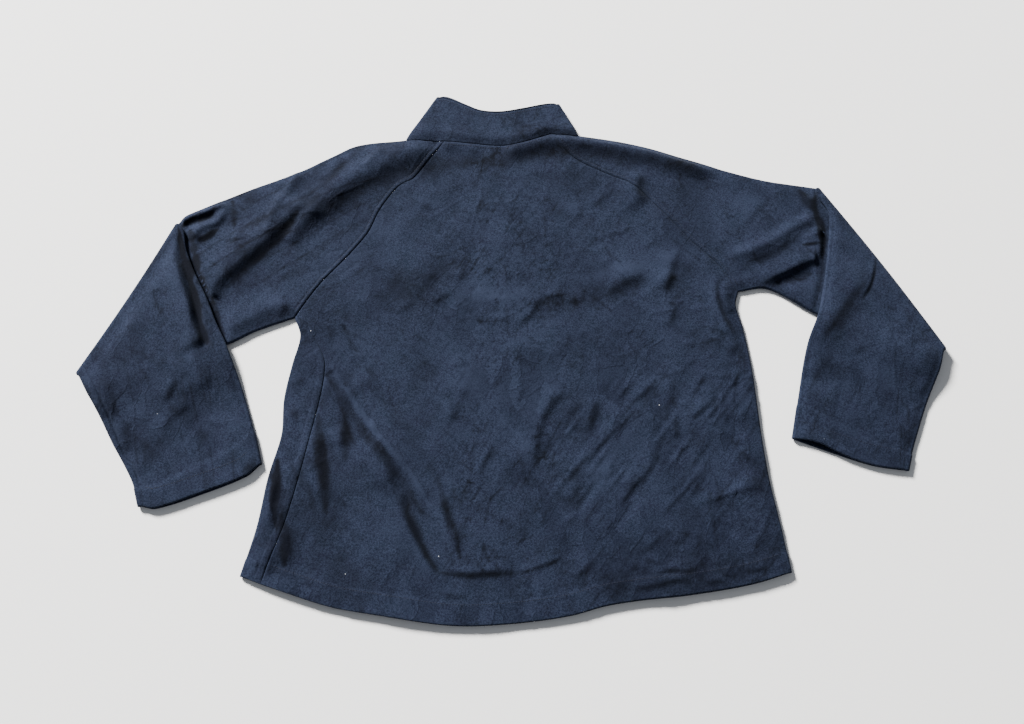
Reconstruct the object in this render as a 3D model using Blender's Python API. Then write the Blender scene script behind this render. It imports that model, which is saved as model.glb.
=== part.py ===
"""Quarter-zip fleece pullover, laid flat with its back upward.

The garment is cut as a real raglan pullover: a back panel, a front panel with a
zip slit, two sleeves and a stand-up collar of doubled cloth, with a zip, its
slider and a pull tab. X runs to the garment's right-hand side as it is seen from
above, Y runs from the hem to the collar, and the lowest face of the cloth is at Z = 0.
Sizes are in millimetres until the meshes are made.
"""
import math
from collections import namedtuple

import bmesh
import bpy
import numpy as np

MM = 0.001

# ---- Driving sizes, in millimetres ----------------------------------------------
WALL = 2.0              # one layer of fleece
COLLAR_WALL = 4.0       # the collar is doubled cloth
HEM_WALL = 3.4          # a hem or cuff, turned up and stitched
HEM_DEPTH = 24.0
CUFF_DEPTH = 26.0
SEAM_GAP = 0.3          # between two pieces that are sewn together
LAY_HEIGHT = 6.0        # middle of the upper layer above the surface
EDGE_ROLL = 2.5         # how far a rounded edge stands out past the flat layers
ELBOW_SPACING = 4.0     # between a sleeve's two layers where it is folded over
ELBOW_AXIS = 7.0        # height of the line that a sleeve is folded about
FOREARM_LIFT = 8.6      # how far the forearm is raised where it crosses the upper arm
LIFT_SLOPE = 90.0       # length over which it comes down to the surface again
LIFT_MARGIN = 6.0       # how far inside the upper arm's edge it is fully raised
UNDERLAY = 1.0          # how much flatter the upper arm is under the forearm
UNDERLAY_EDGE = (-22.0, -4.0)  # where that begins and is complete, from the forearm's edge
ARM_START = 300.0       # distance from the middle where only the arms lie, above
FOREARM_CROSSING = -60.0  # this height: further down only the forearms do
COLLAR_HEIGHT = 8.6     # middle of the collar's upper layer
ZIP_X = -25.0           # centre front
ZIP_RIDGE = 2.3         # how much the back panel is raised over the zip
ZIP_RIDGE_WIDTH = 45.0
ZIP_RIDGE_START = (20.0, 75.0)  # heights on the body between which the ridge begins
COLLAR_ZIP_RIDGE = 0.8
SLIT_WIDTH = 12.0
SLIT_BOTTOM = 62.0
SLIT_FACING = 12.0      # cloth turned under along the slit
FACING_WALL = 4.3
FACING_STEP = 0.6       # width of the step down from the facing to the single cloth
BODY_LENGTH = 370.0     # hem to armpit
FOREARM_LENGTH = 300.0  # elbow to cuff
HEM_STEP = 3.0          # over which a hem's or cuff's doubled cloth ends
FLATTENS_AT = 0.55      # share of the upper arm after which it flattens for its fold
SETTLES_AT = 0.25       # share of the forearm by which it has left the fold
NECK_INSET = (3.0, 2.4)          # from the neck's corner in to the rounded edges' middle
NECK_OUT = (0.62, 0.785)         # the way those edges face
COLLAR_CORNER_INSET = (4.5, 2.0)
COLLAR_CORNER_POINTS = 6         # points of the collar's front edge that its corner replaces
COLLAR_SIDE_MARGIN = 4.0

Point = namedtuple("Point", "x y")
Fold = namedtuple("Fold", "name start bend end width steep height")


def points(*pairs):
    """A short table of points, one pair of x and y for each row."""
    return [Point(x, y) for x, y in pairs]


# ---- Outline: where each edge and seam of the laid garment runs ------------------
HEM = points((-346, -323), (-287, -343), (-229, -361), (-172, -371), (-78, -384), (-3, -382),
             (73, -372), (117, -360), (160, -353), (225, -346), (302, -333), (355, -318))
BODY_EDGE = {
    "left": points((-345, -323), (-328, -256), (-318, -190), (-305, -135), (-305, -86),
                   (-297, -36), (-289, 5), (-298, 31)),
    "right": points((355, -318), (347, -262), (336, -196), (330, -135), (324, -44),
                    (316, 15), (308, 50), (313, 70)),
}
# The left side seam lies on top and the right one underneath: the panels are
# shifted round the body a little.
SIDE_SEAM = {
    "left": points((-318, -333), (-290, -247), (-267, -142), (-252, -41), (-268, 0), (-295, 34)),
    "right": points((322, -328), (300, -230), (285, -130), (280, -40), (290, 20), (310, 72)),
}
BACK_RAGLAN = {
    "left": points((-295, 34), (-263, 83), (-226, 126), (-202, 159), (-187, 195), (-162, 232),
                   (-139, 247), (-98, 304)),
    "right": points((310, 72), (290, 105), (251, 146), (210, 195), (171, 234), (127, 256),
                    (85, 281), (55, 317)),
}
FRONT_RAGLAN = {
    "left": points((-295, 34), (-255, 85), (-210, 142), (-160, 215), (-122, 270)),
    "right": points((310, 72), (250, 108), (180, 158), (115, 218), (74, 272)),
}
NECK_CORNER = {"left": Point(-154, 307), "right": Point(97, 315)}
BACK_NECK = points((-98, 304), (-58, 300), (-14, 297), (19, 302), (55, 317))
FRONT_NECK = {
    "left": points((-122, 270), (-80, 249), (-37, 240)),
    "right": points((74, 272), (30, 249), (-13, 240)),
}
COLLAR_TOP = points((-111, 380), (-93, 378), (-68, 366), (-45, 356), (-16, 354), (17, 360),
                    (49, 367), (70, 368))
COLLAR_FRONT_TOP = {
    "left": points((-111, 380), (-75, 345), (-31, 316)),
    "right": points((70, 368), (30, 340), (-19, 316)),
}
SHOULDER = {
    "left": points((-154, 307), (-222, 300), (-263, 279), (-305, 257), (-389, 221), (-457, 187),
                   (-473, 173)),
    "right": points((97, 315), (171, 302), (271, 270), (356, 244), (437, 230)),
}
UNDERARM = {
    "left": points((-298, 31), (-350, 11), (-387, -8), (-480, -36), (-587, -52)),
    "right": points((313, 70), (353, 74), (419, 36), (500, 8), (589, -16)),
}
FOREARM_INNER = {
    "left": points((-473, 173), (-453, 158), (-439, 128), (-413, 55), (-387, -7), (-365, -62),
                   (-339, -137), (-328, -176)),
    "right": points((437, 230), (447, 195), (445, 163), (434, 100), (419, 38), (401, -7),
                    (387, -65), (370, -141)),
}
FOREARM_OUTER = {
    "left": points((-587, -52), (-557, -95), (-528, -146), (-496, -199), (-484, -233)),
    "right": points((589, -16), (572, -53), (554, -92), (529, -154), (519, -185)),
}
CUFF = {
    "left": points((-484, -233), (-464, -236), (-404, -217), (-345, -193), (-328, -178)),
    "right": points((519, -185), (474, -178), (422, -161), (370, -142)),
}
# How far an elbow's folded edge bows out past the straight line between its ends.
ELBOW_BOW = {"left": -3.0, "right": 3.0}

# ---- The largest folds: soft ridges (height up) and troughs (height down) --------
BODY_FOLDS = [
    Fold("left_arm_ridge", Point(-412, 72), Point(-335, 185), Point(-120, 282), 20, 0.55, 10),
    Fold("left_shoulder_ridge", Point(-330, 215), Point(-270, 262), Point(-190, 287), 22, 0.7, 5),
    Fold("body_diagonal", Point(-245, -40), Point(-140, -150), Point(-75, -315), 34, 0.6, 7),
    Fold("body_left", Point(-240, -95), Point(-212, -200), Point(-190, -330), 30, 0.8, 5),
    Fold("right_shoulder_ridge", Point(0, 285), Point(170, 290), Point(330, 215), 26, 0.8, 4),
    Fold("right_arm_ridge", Point(325, 105), Point(380, 160), Point(425, 172), 20, 0.7, 6),
    Fold("right_armpit", Point(287, 62), Point(284, 20), Point(305, -30), 14, 0.8, 5),
    Fold("centre_ridge", Point(55, 30), Point(40, -90), Point(0, -200), 32, 0.8, 3),
]
FOREARM_FOLDS = {
    "left": [Fold("inner_ridge", Point(-458, 140), Point(-440, 60), Point(-410, -20), 13, 0.7, 6)],
    "right": [Fold("upper_forearm", Point(478, 165), Point(480, 70), Point(430, -5), 26, 0.6, 6)],
}

# ---- Mesh density, in steps along each edge --------------------------------------
SIDE_STEPS = 10
RAGLAN_STEPS = 10
NECK_STEPS = 8
SHOULDER_NECK_STEPS = 2
ACROSS_STEPS = 26
HALF_FRONT_STEPS = 8
WRAP_STEPS = 3
ROLL_STEPS = 4
UPPER_ARM_STEPS = 8
ELBOW_STEPS = 5
FOREARM_STEPS = 9
COLLAR_STEPS = 4
COLLAR_FRONT_STEPS = 4
COLLAR_TURN_STEPS = 2

# ---- Zip, in millimetres ----------------------------------------------------------
TAPE_WIDTH = 15.0
TAPE_THICKNESS = 1.0
TAPE_BOTTOM = 56.0
TAPE_TOP = 313.0
TAPE_SPLIT = 3.0        # between the two tapes, filled by the row of teeth
TAPE_Z = 5.1
CHAIN_WIDTH = 1.05
CHAIN_START = 0.15      # from the middle of the zip
CHAIN_Z = (3.5, 4.3)
SLIDER_Y = 302.0
SLIDER_LENGTH = 13.0
SLIDER_WIDTH = 9.0
SLIDER_TAIL_WIDTH = 7.0
SLIDER_TAIL_SHARE = 0.6  # how much of its length lies below the hinge line
SLIDER_SHOULDER = 4.0   # from its nose back to its widest place
SLIDER_CORNER = 1.5
SLIDER_TOP_PLATE = (5.9, 6.7)
SLIDER_LOW_PLATE = (2.6, 3.2)
POST_WIDTH = 2.2
POST_LENGTH = 2.6
POST_INSET = 0.4
PLATE_OVERLAP = 0.2     # how far joined blocks of the slider reach into each other
BRIDGE_WIDTH = 2.0
BRIDGE_THICKNESS = 0.6
BRIDGE_LEG = 1.0
BRIDGE_SPAN = 4.6
PIN_Z = 1.8             # height of the pull tab's hinge line
PIN_SIZE = 1.0
TAB_WIDTH = 5.6
TAB_LENGTH = 25.0
TAB_WINDOW = (3.0, 3.5)
TAB_CORNER = 2.0
STOP_SIZE = (5.0, 3.0)
STOP_DROP = 0.4         # how far the stop reaches below the teeth
STOP_START = 1.0        # from the slit's bottom

FLEECE = (0.028, 0.040, 0.072, 1.0)
TAPE_CLOTH = (0.018, 0.024, 0.040, 1.0)
ZIP_METAL = (0.030, 0.032, 0.036, 1.0)


# ---- Curves and surfaces ----------------------------------------------------------
def smoothstep(value, low, high):
    """0 below low, 1 above high, and a soft rise between."""
    t = np.clip((np.asarray(value, float) - low) / (high - low), 0.0, 1.0)
    return t * t * (3.0 - 2.0 * t)


def dense_curve(table, per_span=16):
    """A smooth curve through the rows of a table of points."""
    rows = np.array([(p[0], p[1]) for p in table], float)
    if len(rows) < 3:
        t = np.linspace(0.0, 1.0, per_span + 1)[:, None]
        return rows[0] * (1 - t) + rows[-1] * t
    first = 2 * rows[0] - rows[1]
    last = 2 * rows[-1] - rows[-2]
    rows = np.vstack([first, rows, last])
    curve = []
    for before, start, end, after in zip(rows, rows[1:], rows[2:], rows[3:]):
        span = np.linalg.norm(end - start)
        start_slope = (end - before) * span / (span + np.linalg.norm(start - before))
        end_slope = (after - start) * span / (span + np.linalg.norm(after - end))
        for step in range(per_span):
            t = step / per_span
            curve.append((2 * t**3 - 3 * t**2 + 1) * start + (t**3 - 2 * t**2 + t) * start_slope
                         + (3 * t**2 - 2 * t**3) * end + (t**3 - t**2) * end_slope)
    curve.append(rows[-2])
    return np.array(curve)


def arc_fractions(curve):
    """How far along a curve each of its points is, from 0 to 1."""
    lengths = np.concatenate([[0.0], np.cumsum(np.linalg.norm(np.diff(curve, axis=0), axis=1))])
    return lengths / lengths[-1]


def along(curve, fractions):
    """Points of a curve at the given fractions of its length."""
    done = arc_fractions(curve)
    return np.stack([np.interp(fractions, done, curve[:, k]) for k in range(2)], axis=1)


def steps(count):
    """Evenly spaced fractions, count steps from 0 to 1."""
    return np.linspace(0.0, 1.0, count + 1)


def outward(curve, inside):
    """Unit vectors square to a curve that point away from a place inside it."""
    direction = np.gradient(curve, axis=0)
    direction /= np.linalg.norm(direction, axis=1)[:, None]
    normal = np.stack([direction[:, 1], -direction[:, 0]], axis=1)
    middle = len(curve) // 2
    if np.dot(normal[middle], np.array(inside) - curve[middle]) > 0:
        normal = -normal
    return normal


def inset(curve, inside, distance):
    """A curve moved inward by a distance."""
    return curve - outward(curve, inside) * distance


def fit_ends(curve, start, end):
    """A curve eased over so that it begins and ends at two places."""
    share = arc_fractions(curve)[:, None]
    return curve + (start - curve[0]) * (1 - share) + (end - curve[-1]) * share


def shrink(loop, distance):
    """A closed outline, counter-clockwise or clockwise, moved inward all round."""
    ahead = np.roll(loop, -1, axis=0) - loop
    area = np.sum(loop[:, 0] * np.roll(loop[:, 1], -1) - np.roll(loop[:, 0], -1) * loop[:, 1])
    sign = 1.0 if area > 0 else -1.0
    unit = ahead / np.linalg.norm(ahead, axis=1)[:, None]
    normal = sign * np.stack([-unit[:, 1], unit[:, 0]], axis=1)
    before = np.roll(normal, 1, axis=0)
    bisector = normal + before
    bisector /= np.maximum((bisector * bisector).sum(axis=1) / 2.0, 0.5)[:, None]
    return loop + bisector * distance


def fill(bottom, top, left, right):
    """Rows of points between four edge curves: a panel's surface in plan."""
    u = (arc_fractions(bottom) + arc_fractions(top)) / 2
    v = (arc_fractions(left) + arc_fractions(right)) / 2
    u = u[None, :, None]
    v = v[:, None, None]
    ruled = (1 - v) * bottom[None] + v * top[None] + (1 - u) * left[:, None] + u * right[:, None]
    corners = ((1 - u) * (1 - v) * bottom[0] + u * (1 - v) * bottom[-1]
               + (1 - u) * v * top[0] + u * v * top[-1])
    return ruled - corners


def panel(bottom, top, left, right):
    """The plan of a sewn panel, kept half a seam gap inside its outline."""
    loop = np.vstack([bottom[:-1], right[:-1], top[:0:-1], left[:0:-1]])
    loop = shrink(loop, SEAM_GAP / 2)
    columns = len(bottom) - 1
    rows = len(right) - 1
    bottom = loop[:columns + 1]
    right = loop[columns:columns + rows + 1]
    top = loop[columns + rows:2 * columns + rows + 1][::-1]
    left = np.vstack([loop[2 * columns + rows:], loop[:1]])[::-1]
    return fill(bottom, top, left, right)


def distance_to(curve, x, y):
    """Distance from places to a curve, the fraction along it, and the side."""
    best = np.full(np.shape(x), 1e9)
    fraction = np.zeros(np.shape(x))
    side = np.ones(np.shape(x))
    done = arc_fractions(curve)
    for i, (start, end) in enumerate(zip(curve, curve[1:])):
        run = end - start
        square = max(float(run @ run), 1e-12)
        t = np.clip(((x - start[0]) * run[0] + (y - start[1]) * run[1]) / square, 0.0, 1.0)
        dx = x - start[0] - t * run[0]
        dy = y - start[1] - t * run[1]
        gap = np.hypot(dx, dy)
        nearer = gap < best
        best = np.where(nearer, gap, best)
        fraction = np.where(nearer, done[i] + t * (done[i + 1] - done[i]), fraction)
        side = np.where(nearer, np.sign(run[0] * dy - run[1] * dx), side)
    return best, fraction, side


def bend(start, middle, end, count=16):
    """A curve that leaves start toward middle and arrives at end."""
    t = steps(count)[:, None]
    a, b, c = (np.array(p, float) for p in (start, middle, end))
    return (1 - t)**2 * a + 2 * t * (1 - t) * b + t**2 * c


def fold_heights(folds, x, y):
    """How far a list of folds lifts the cloth at some places."""
    total = np.zeros(np.shape(x))
    for fold in folds:
        gap, fraction, side = distance_to(bend(fold.start, fold.bend, fold.end), x, y)
        width = np.where(side < 0, fold.width * fold.steep, fold.width)
        fade = smoothstep(fraction, 0.0, 0.2) * smoothstep(1 - fraction, 0.0, 0.2)
        total = total + fold.height * np.exp(-(gap / width)**2) * fade
    return total


SHAPE = {}
for side_name in ("left", "right"):
    SHAPE[side_name] = {
        "inner": dense_curve(FOREARM_INNER[side_name]),
        "underarm": dense_curve(UNDERARM[side_name]),
    }


def under_forearm(x, y):
    """1 on the part of an upper arm that a forearm covers, 0 elsewhere."""
    cover = np.zeros(np.shape(x))
    for name, turn in (("left", -1.0), ("right", 1.0)):
        gap, _, side = distance_to(SHAPE[name]["inner"], x, y)
        beyond = gap * side * turn
        on_arm = (np.abs(x) > ARM_START) & (np.sign(x) == turn) & (y > FOREARM_CROSSING)
        cover = np.maximum(cover, smoothstep(beyond, *UNDERLAY_EDGE) * on_arm)
    return cover


def upper_height(x, y):
    """Middle of the upper layer of the body and the upper arms."""
    over_zip = np.exp(-((x - ZIP_X) / ZIP_RIDGE_WIDTH)**2) * smoothstep(y, *ZIP_RIDGE_START)
    covered = under_forearm(x, y)
    height = LAY_HEIGHT + ZIP_RIDGE * over_zip + fold_heights(BODY_FOLDS, x, y) * (1 - covered)
    return height - UNDERLAY * covered


def forearm_lift(name, x, y):
    """How far a forearm is raised by the upper arm that it lies on."""
    turn = 1.0 if name == "left" else -1.0
    gap, _, side = distance_to(SHAPE[name]["underarm"], x, y)
    inside = -gap * side * turn
    return FOREARM_LIFT * smoothstep(inside, -LIFT_SLOPE - LIFT_MARGIN, -LIFT_MARGIN)


# ---- Meshes -----------------------------------------------------------------------
class Cloth:
    """Strips of a piece's middle surface, welded together and given a wall."""

    def __init__(self):
        self.places = []
        self.normals = []
        self.walls = []
        self.known = {}
        self.triangles = []

    def vertex(self, place, normal, wall):
        key = tuple(np.round(place, 3))
        if key not in self.known:
            self.known[key] = len(self.places)
            self.places.append(place)
            self.normals.append(normal)
            self.walls.append(wall)
        return self.known[key]

    def add(self, places, normals, walls):
        """A grid of the middle surface, its wall directions and thicknesses."""
        rows, columns = places.shape[:2]
        ids = [[self.vertex(places[i, j], normals[i, j], walls[i, j]) for j in range(columns)]
               for i in range(rows)]
        for i in range(rows - 1):
            for j in range(columns - 1):
                a, b = ids[i][j], ids[i][j + 1]
                c, d = ids[i + 1][j + 1], ids[i + 1][j]
                for triangle in ((a, b, c), (a, c, d)):
                    if len(set(triangle)) == 3:
                        self.triangles.append(triangle)

    def build(self, name, material):
        """The closed solid: an outer face, an inner face and the cut edges."""
        places = np.array(self.places)
        normals = np.array(self.normals)
        normals /= np.linalg.norm(normals, axis=1)[:, None]
        half = normals * np.array(self.walls)[:, None] / 2
        count = len(places)
        faces = []
        edges = {}
        for a, b, c in self.triangles:
            faces.append((a, b, c))
            faces.append((a + count, c + count, b + count))
            for start, end in ((a, b), (b, c), (c, a)):
                edges.setdefault((min(start, end), max(start, end)), []).append((start, end))
        for users in edges.values():
            if len(users) == 1:
                start, end = users[0]
                faces.append((end, start, start + count, end + count))
        vertices = np.vstack([places + half, places - half]) * MM
        return make_object(name, vertices, faces, material)


def make_object(name, vertices, faces, material):
    """A mesh object, shaded smooth, with its faces turned outward."""
    mesh = bpy.data.meshes.new(name)
    mesh.from_pydata([tuple(v) for v in vertices], [], [tuple(f) for f in faces])
    work = bmesh.new()
    work.from_mesh(mesh)
    bmesh.ops.recalc_face_normals(work, faces=work.faces)
    if work.calc_volume(signed=True) < 0:
        bmesh.ops.reverse_faces(work, faces=work.faces)
    work.to_mesh(mesh)
    work.free()
    mesh.shade_smooth()
    mesh.set_sharp_from_angle(angle=math.radians(40))
    mesh.materials.append(material)
    thing = bpy.data.objects.new(name, mesh)
    bpy.context.scene.collection.objects.link(thing)
    return thing


def make_material(name, colour, roughness, metallic=0.0):
    material = bpy.data.materials.new(name)
    material.use_nodes = True
    shader = material.node_tree.nodes["Principled BSDF"]
    shader.inputs["Base Color"].default_value = colour
    shader.inputs["Roughness"].default_value = roughness
    shader.inputs["Metallic"].default_value = metallic
    return material


def flat_layer(plan, heights):
    """Places and upright wall directions of a layer that lies flat."""
    places = np.concatenate([plan, np.broadcast_to(heights, plan.shape[:2])[..., None]], axis=2)
    normals = np.zeros(places.shape)
    normals[..., 2] = 1.0
    return places, normals


def rolled_edge(high, low, high_z, low_z, out):
    """The rounded turn from an upper layer's edge down to the layer below it.

    high and low are the two layers' edges in plan, and out points away from them.
    """
    angles = np.linspace(math.pi / 2, -math.pi / 2, ROLL_STEPS + 1)
    places = np.zeros((len(high), ROLL_STEPS + 1, 3))
    normals = np.zeros(places.shape)
    middle = (high_z + low_z) / 2
    reach = (high_z - low_z) / 2
    for k, angle in enumerate(angles):
        share = (1 + math.sin(angle)) / 2
        plan = high * share + low * (1 - share) + out * (EDGE_ROLL * math.cos(angle))
        places[:, k, :2] = plan
        places[:, k, 2] = middle + reach * math.sin(angle)
        normals[:, k, :2] = out * (math.cos(angle) / EDGE_ROLL)
        normals[:, k, 2] = math.sin(angle) / reach
    places[:, 0, :2] = high
    places[:, -1, :2] = low
    places[:, 0, 2] = high_z
    places[:, -1, 2] = low_z
    return places, normals


# ---- Body -------------------------------------------------------------------------
def side_fractions():
    """Rows from the hem to the armpit, with two close rows at the hem's stitching."""
    hem = HEM_DEPTH / BODY_LENGTH
    single = hem + HEM_STEP / BODY_LENGTH
    return np.concatenate([[0.0, hem], np.linspace(single, 1.0, SIDE_STEPS + 1)])


SIDE_ROWS = side_fractions()
RAGLAN_ROWS = np.concatenate([[0.0, 0.03], np.linspace(0.1, 1.0, RAGLAN_STEPS - 1)])
ARMPIT_ROW = len(SIDE_ROWS) - 1
BODY_ROWS = ARMPIT_ROW + len(RAGLAN_ROWS)


def row_walls():
    """Wall thickness of the body's cloth in each row."""
    walls = np.full(BODY_ROWS, WALL)
    walls[:2] = HEM_WALL
    return walls


def edge_centre(name):
    """The line that the body's rounded side edge turns about, hem to armpit."""
    outline = along(dense_curve(BODY_EDGE[name]), SIDE_ROWS)
    centre = inset(outline, (0.0, -150.0), EDGE_ROLL + WALL / 2)
    centre[-1] = BACK_RAGLAN[name][0]
    return centre


def edge_out(name):
    """Outward directions along a side edge; the armpit's is a mitre with the sleeve."""
    out = outward(along(dense_curve(BODY_EDGE[name]), SIDE_ROWS), (0.0, -150.0))
    sideways = -1.0 if name == "left" else 1.0
    out[-1] = np.array([sideways, -1.0]) / math.sqrt(2)
    return out


def hem_between(start, end, count):
    """Points of the hem between two places on it."""
    curve = dense_curve(HEM)
    x = np.linspace(start[0], end[0], count + 1)
    y = np.interp(x, curve[:, 0], curve[:, 1])
    return fit_ends(np.stack([x, y], axis=1), start, end)


def side_of_body(lower, name, raglan):
    """One side of a body panel: below the armpit, then up its raglan seam."""
    upper = along(dense_curve(raglan[name]), RAGLAN_ROWS)
    lower = lower.copy()
    lower[-1] = upper[0]
    return np.vstack([lower, upper[1:]])


def seam_line(name):
    return along(dense_curve(SIDE_SEAM[name]), SIDE_ROWS)


def back_plan():
    left = side_of_body(seam_line("left"), "left", BACK_RAGLAN)
    right = side_of_body(edge_centre("right"), "right", BACK_RAGLAN)
    neck = along(dense_curve(BACK_NECK), steps(ACROSS_STEPS))
    hem = hem_between(left[0], right[0], ACROSS_STEPS)
    return panel(hem, neck, left, right)


def wrap(edge, seam, z, count):
    """The cloth between a rounded edge and the side seam beyond it, rows by columns."""
    share = steps(count)[None, :, None]
    plan = edge[:, None] * (1 - share) + seam[:, None] * share
    return flat_layer(plan, z(plan))


def seam_side(name, toward):
    """The side seam, half a gap over to one side of it."""
    line = seam_line(name)
    line[-1] = BACK_RAGLAN[name][0]
    return inset(line, (0.0, -150.0), toward * SEAM_GAP / 2)


def back_panel(material):
    cloth = Cloth()
    plan = back_plan()
    walls = row_walls()
    top = upper_height(plan[..., 0], plan[..., 1])
    cloth.add(*flat_layer(plan, top), np.broadcast_to(walls[:, None], top.shape))
    edge = plan[:ARMPIT_ROW + 1, -1]
    low_z = walls[:ARMPIT_ROW + 1] / 2
    seam = seam_side("right", -1.0)
    seam[-1] = edge[-1]
    places, normals = rolled_edge(edge, edge, top[:ARMPIT_ROW + 1, -1], low_z, edge_out("right"))
    cloth.add(places, normals, np.broadcast_to(walls[:ARMPIT_ROW + 1, None], places.shape[:2]))
    places, normals = wrap(edge, seam, lambda plan: low_z[:, None], WRAP_STEPS)
    cloth.add(places, normals, np.broadcast_to(walls[:ARMPIT_ROW + 1, None], places.shape[:2]))
    return cloth.build("back_panel", material)


def centre_line(offset):
    """Points up a line beside the centre front, a row for each row of the body."""
    curve = dense_curve(HEM)
    x = ZIP_X + offset
    hem_y = np.interp(x, curve[:, 0], curve[:, 1])
    lower = hem_y + SIDE_ROWS * (SLIT_BOTTOM - hem_y)
    neck = dense_curve(FRONT_NECK["left" if offset < 0 else "right"])
    neck = neck[np.argsort(neck[:, 0])]
    neck_y = np.interp(x, neck[:, 0], neck[:, 1])
    upper = SLIT_BOTTOM + RAGLAN_ROWS[1:] * (neck_y - SLIT_BOTTOM)
    y = np.concatenate([lower, upper])
    return np.stack([np.full(len(y), x), y], axis=1)


def front_panel(material):
    cloth = Cloth()
    walls = row_walls()
    facing_walls = walls.copy()
    facing_walls[ARMPIT_ROW + 1:] = FACING_WALL
    facing_edge = SLIT_WIDTH / 2 + SLIT_FACING
    for name, sign in (("left", -1.0), ("right", 1.0)):
        lower = edge_centre("left") if name == "left" else seam_line("right")
        outer = side_of_body(lower, name, FRONT_RAGLAN)
        inner = centre_line(sign * (facing_edge + FACING_STEP))
        neck = dense_curve(FRONT_NECK[name])
        reach = (inner[-1, 0] - neck[0, 0]) / (neck[-1, 0] - neck[0, 0])
        neck = along(neck, steps(HALF_FRONT_STEPS) * reach)
        neck[-1] = inner[-1]
        hem = hem_between(outer[0], inner[0], HALF_FRONT_STEPS)
        plan = panel(hem, neck, outer, inner)
        wall_grid = np.broadcast_to(walls[:, None], plan.shape[:2])
        cloth.add(*flat_layer(plan, wall_grid / 2), wall_grid)
        strip = np.stack([plan[:, -1], centre_line(sign * facing_edge),
                          centre_line(sign * SLIT_WIDTH / 2)], axis=1)
        strip[-1, 1:, 1] -= SEAM_GAP / 2
        strip_walls = np.stack([walls, facing_walls, facing_walls], axis=1)
        cloth.add(*flat_layer(strip, strip_walls / 2), strip_walls)
        if name == "left":
            left_plan = plan
    rows = ARMPIT_ROW + 1
    bridge = np.stack([centre_line(-SLIT_WIDTH / 2)[:rows], centre_line(SLIT_WIDTH / 2)[:rows]],
                      axis=1)
    bridge_walls = np.stack([walls[:rows]] * 2, axis=1)
    cloth.add(*flat_layer(bridge, bridge_walls / 2), bridge_walls)
    edge = left_plan[:rows, 0]
    high_z = upper_height(edge[:, 0], edge[:, 1])
    places, normals = rolled_edge(edge, edge, high_z, walls[:rows] / 2, edge_out("left"))
    cloth.add(places, normals, np.broadcast_to(walls[:rows, None], places.shape[:2]))
    seam = seam_side("left", -1.0)
    seam[-1] = edge[-1]
    places, normals = wrap(edge, seam, lambda plan: upper_height(plan[..., 0], plan[..., 1]),
                           WRAP_STEPS)
    cloth.add(places, normals, np.broadcast_to(walls[:rows, None], places.shape[:2]))
    return cloth.build("front_panel", material)


# ---- Sleeves ----------------------------------------------------------------------
def armhole(name, raglan, neck_start):
    """A sleeve's upper edge on one layer: up the raglan seam, then along the neck."""
    seam = along(dense_curve(raglan[name]), RAGLAN_ROWS)
    corner = neck_centre(name)
    neck = np.array([neck_start, corner])
    neck = along(dense_curve(neck), steps(SHOULDER_NECK_STEPS))
    return np.vstack([seam, neck[1:]])


def neck_centre(name):
    """Where the shoulder's and the collar's rounded edges meet, inside the outline."""
    sideways = -1.0 if name == "left" else 1.0
    corner = np.array(NECK_CORNER[name], float)
    return corner - np.array([sideways * NECK_INSET[0], NECK_INSET[1]])


def neck_out(name):
    sideways = -1.0 if name == "left" else 1.0
    return np.array([sideways * NECK_OUT[0], NECK_OUT[1]])


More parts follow.
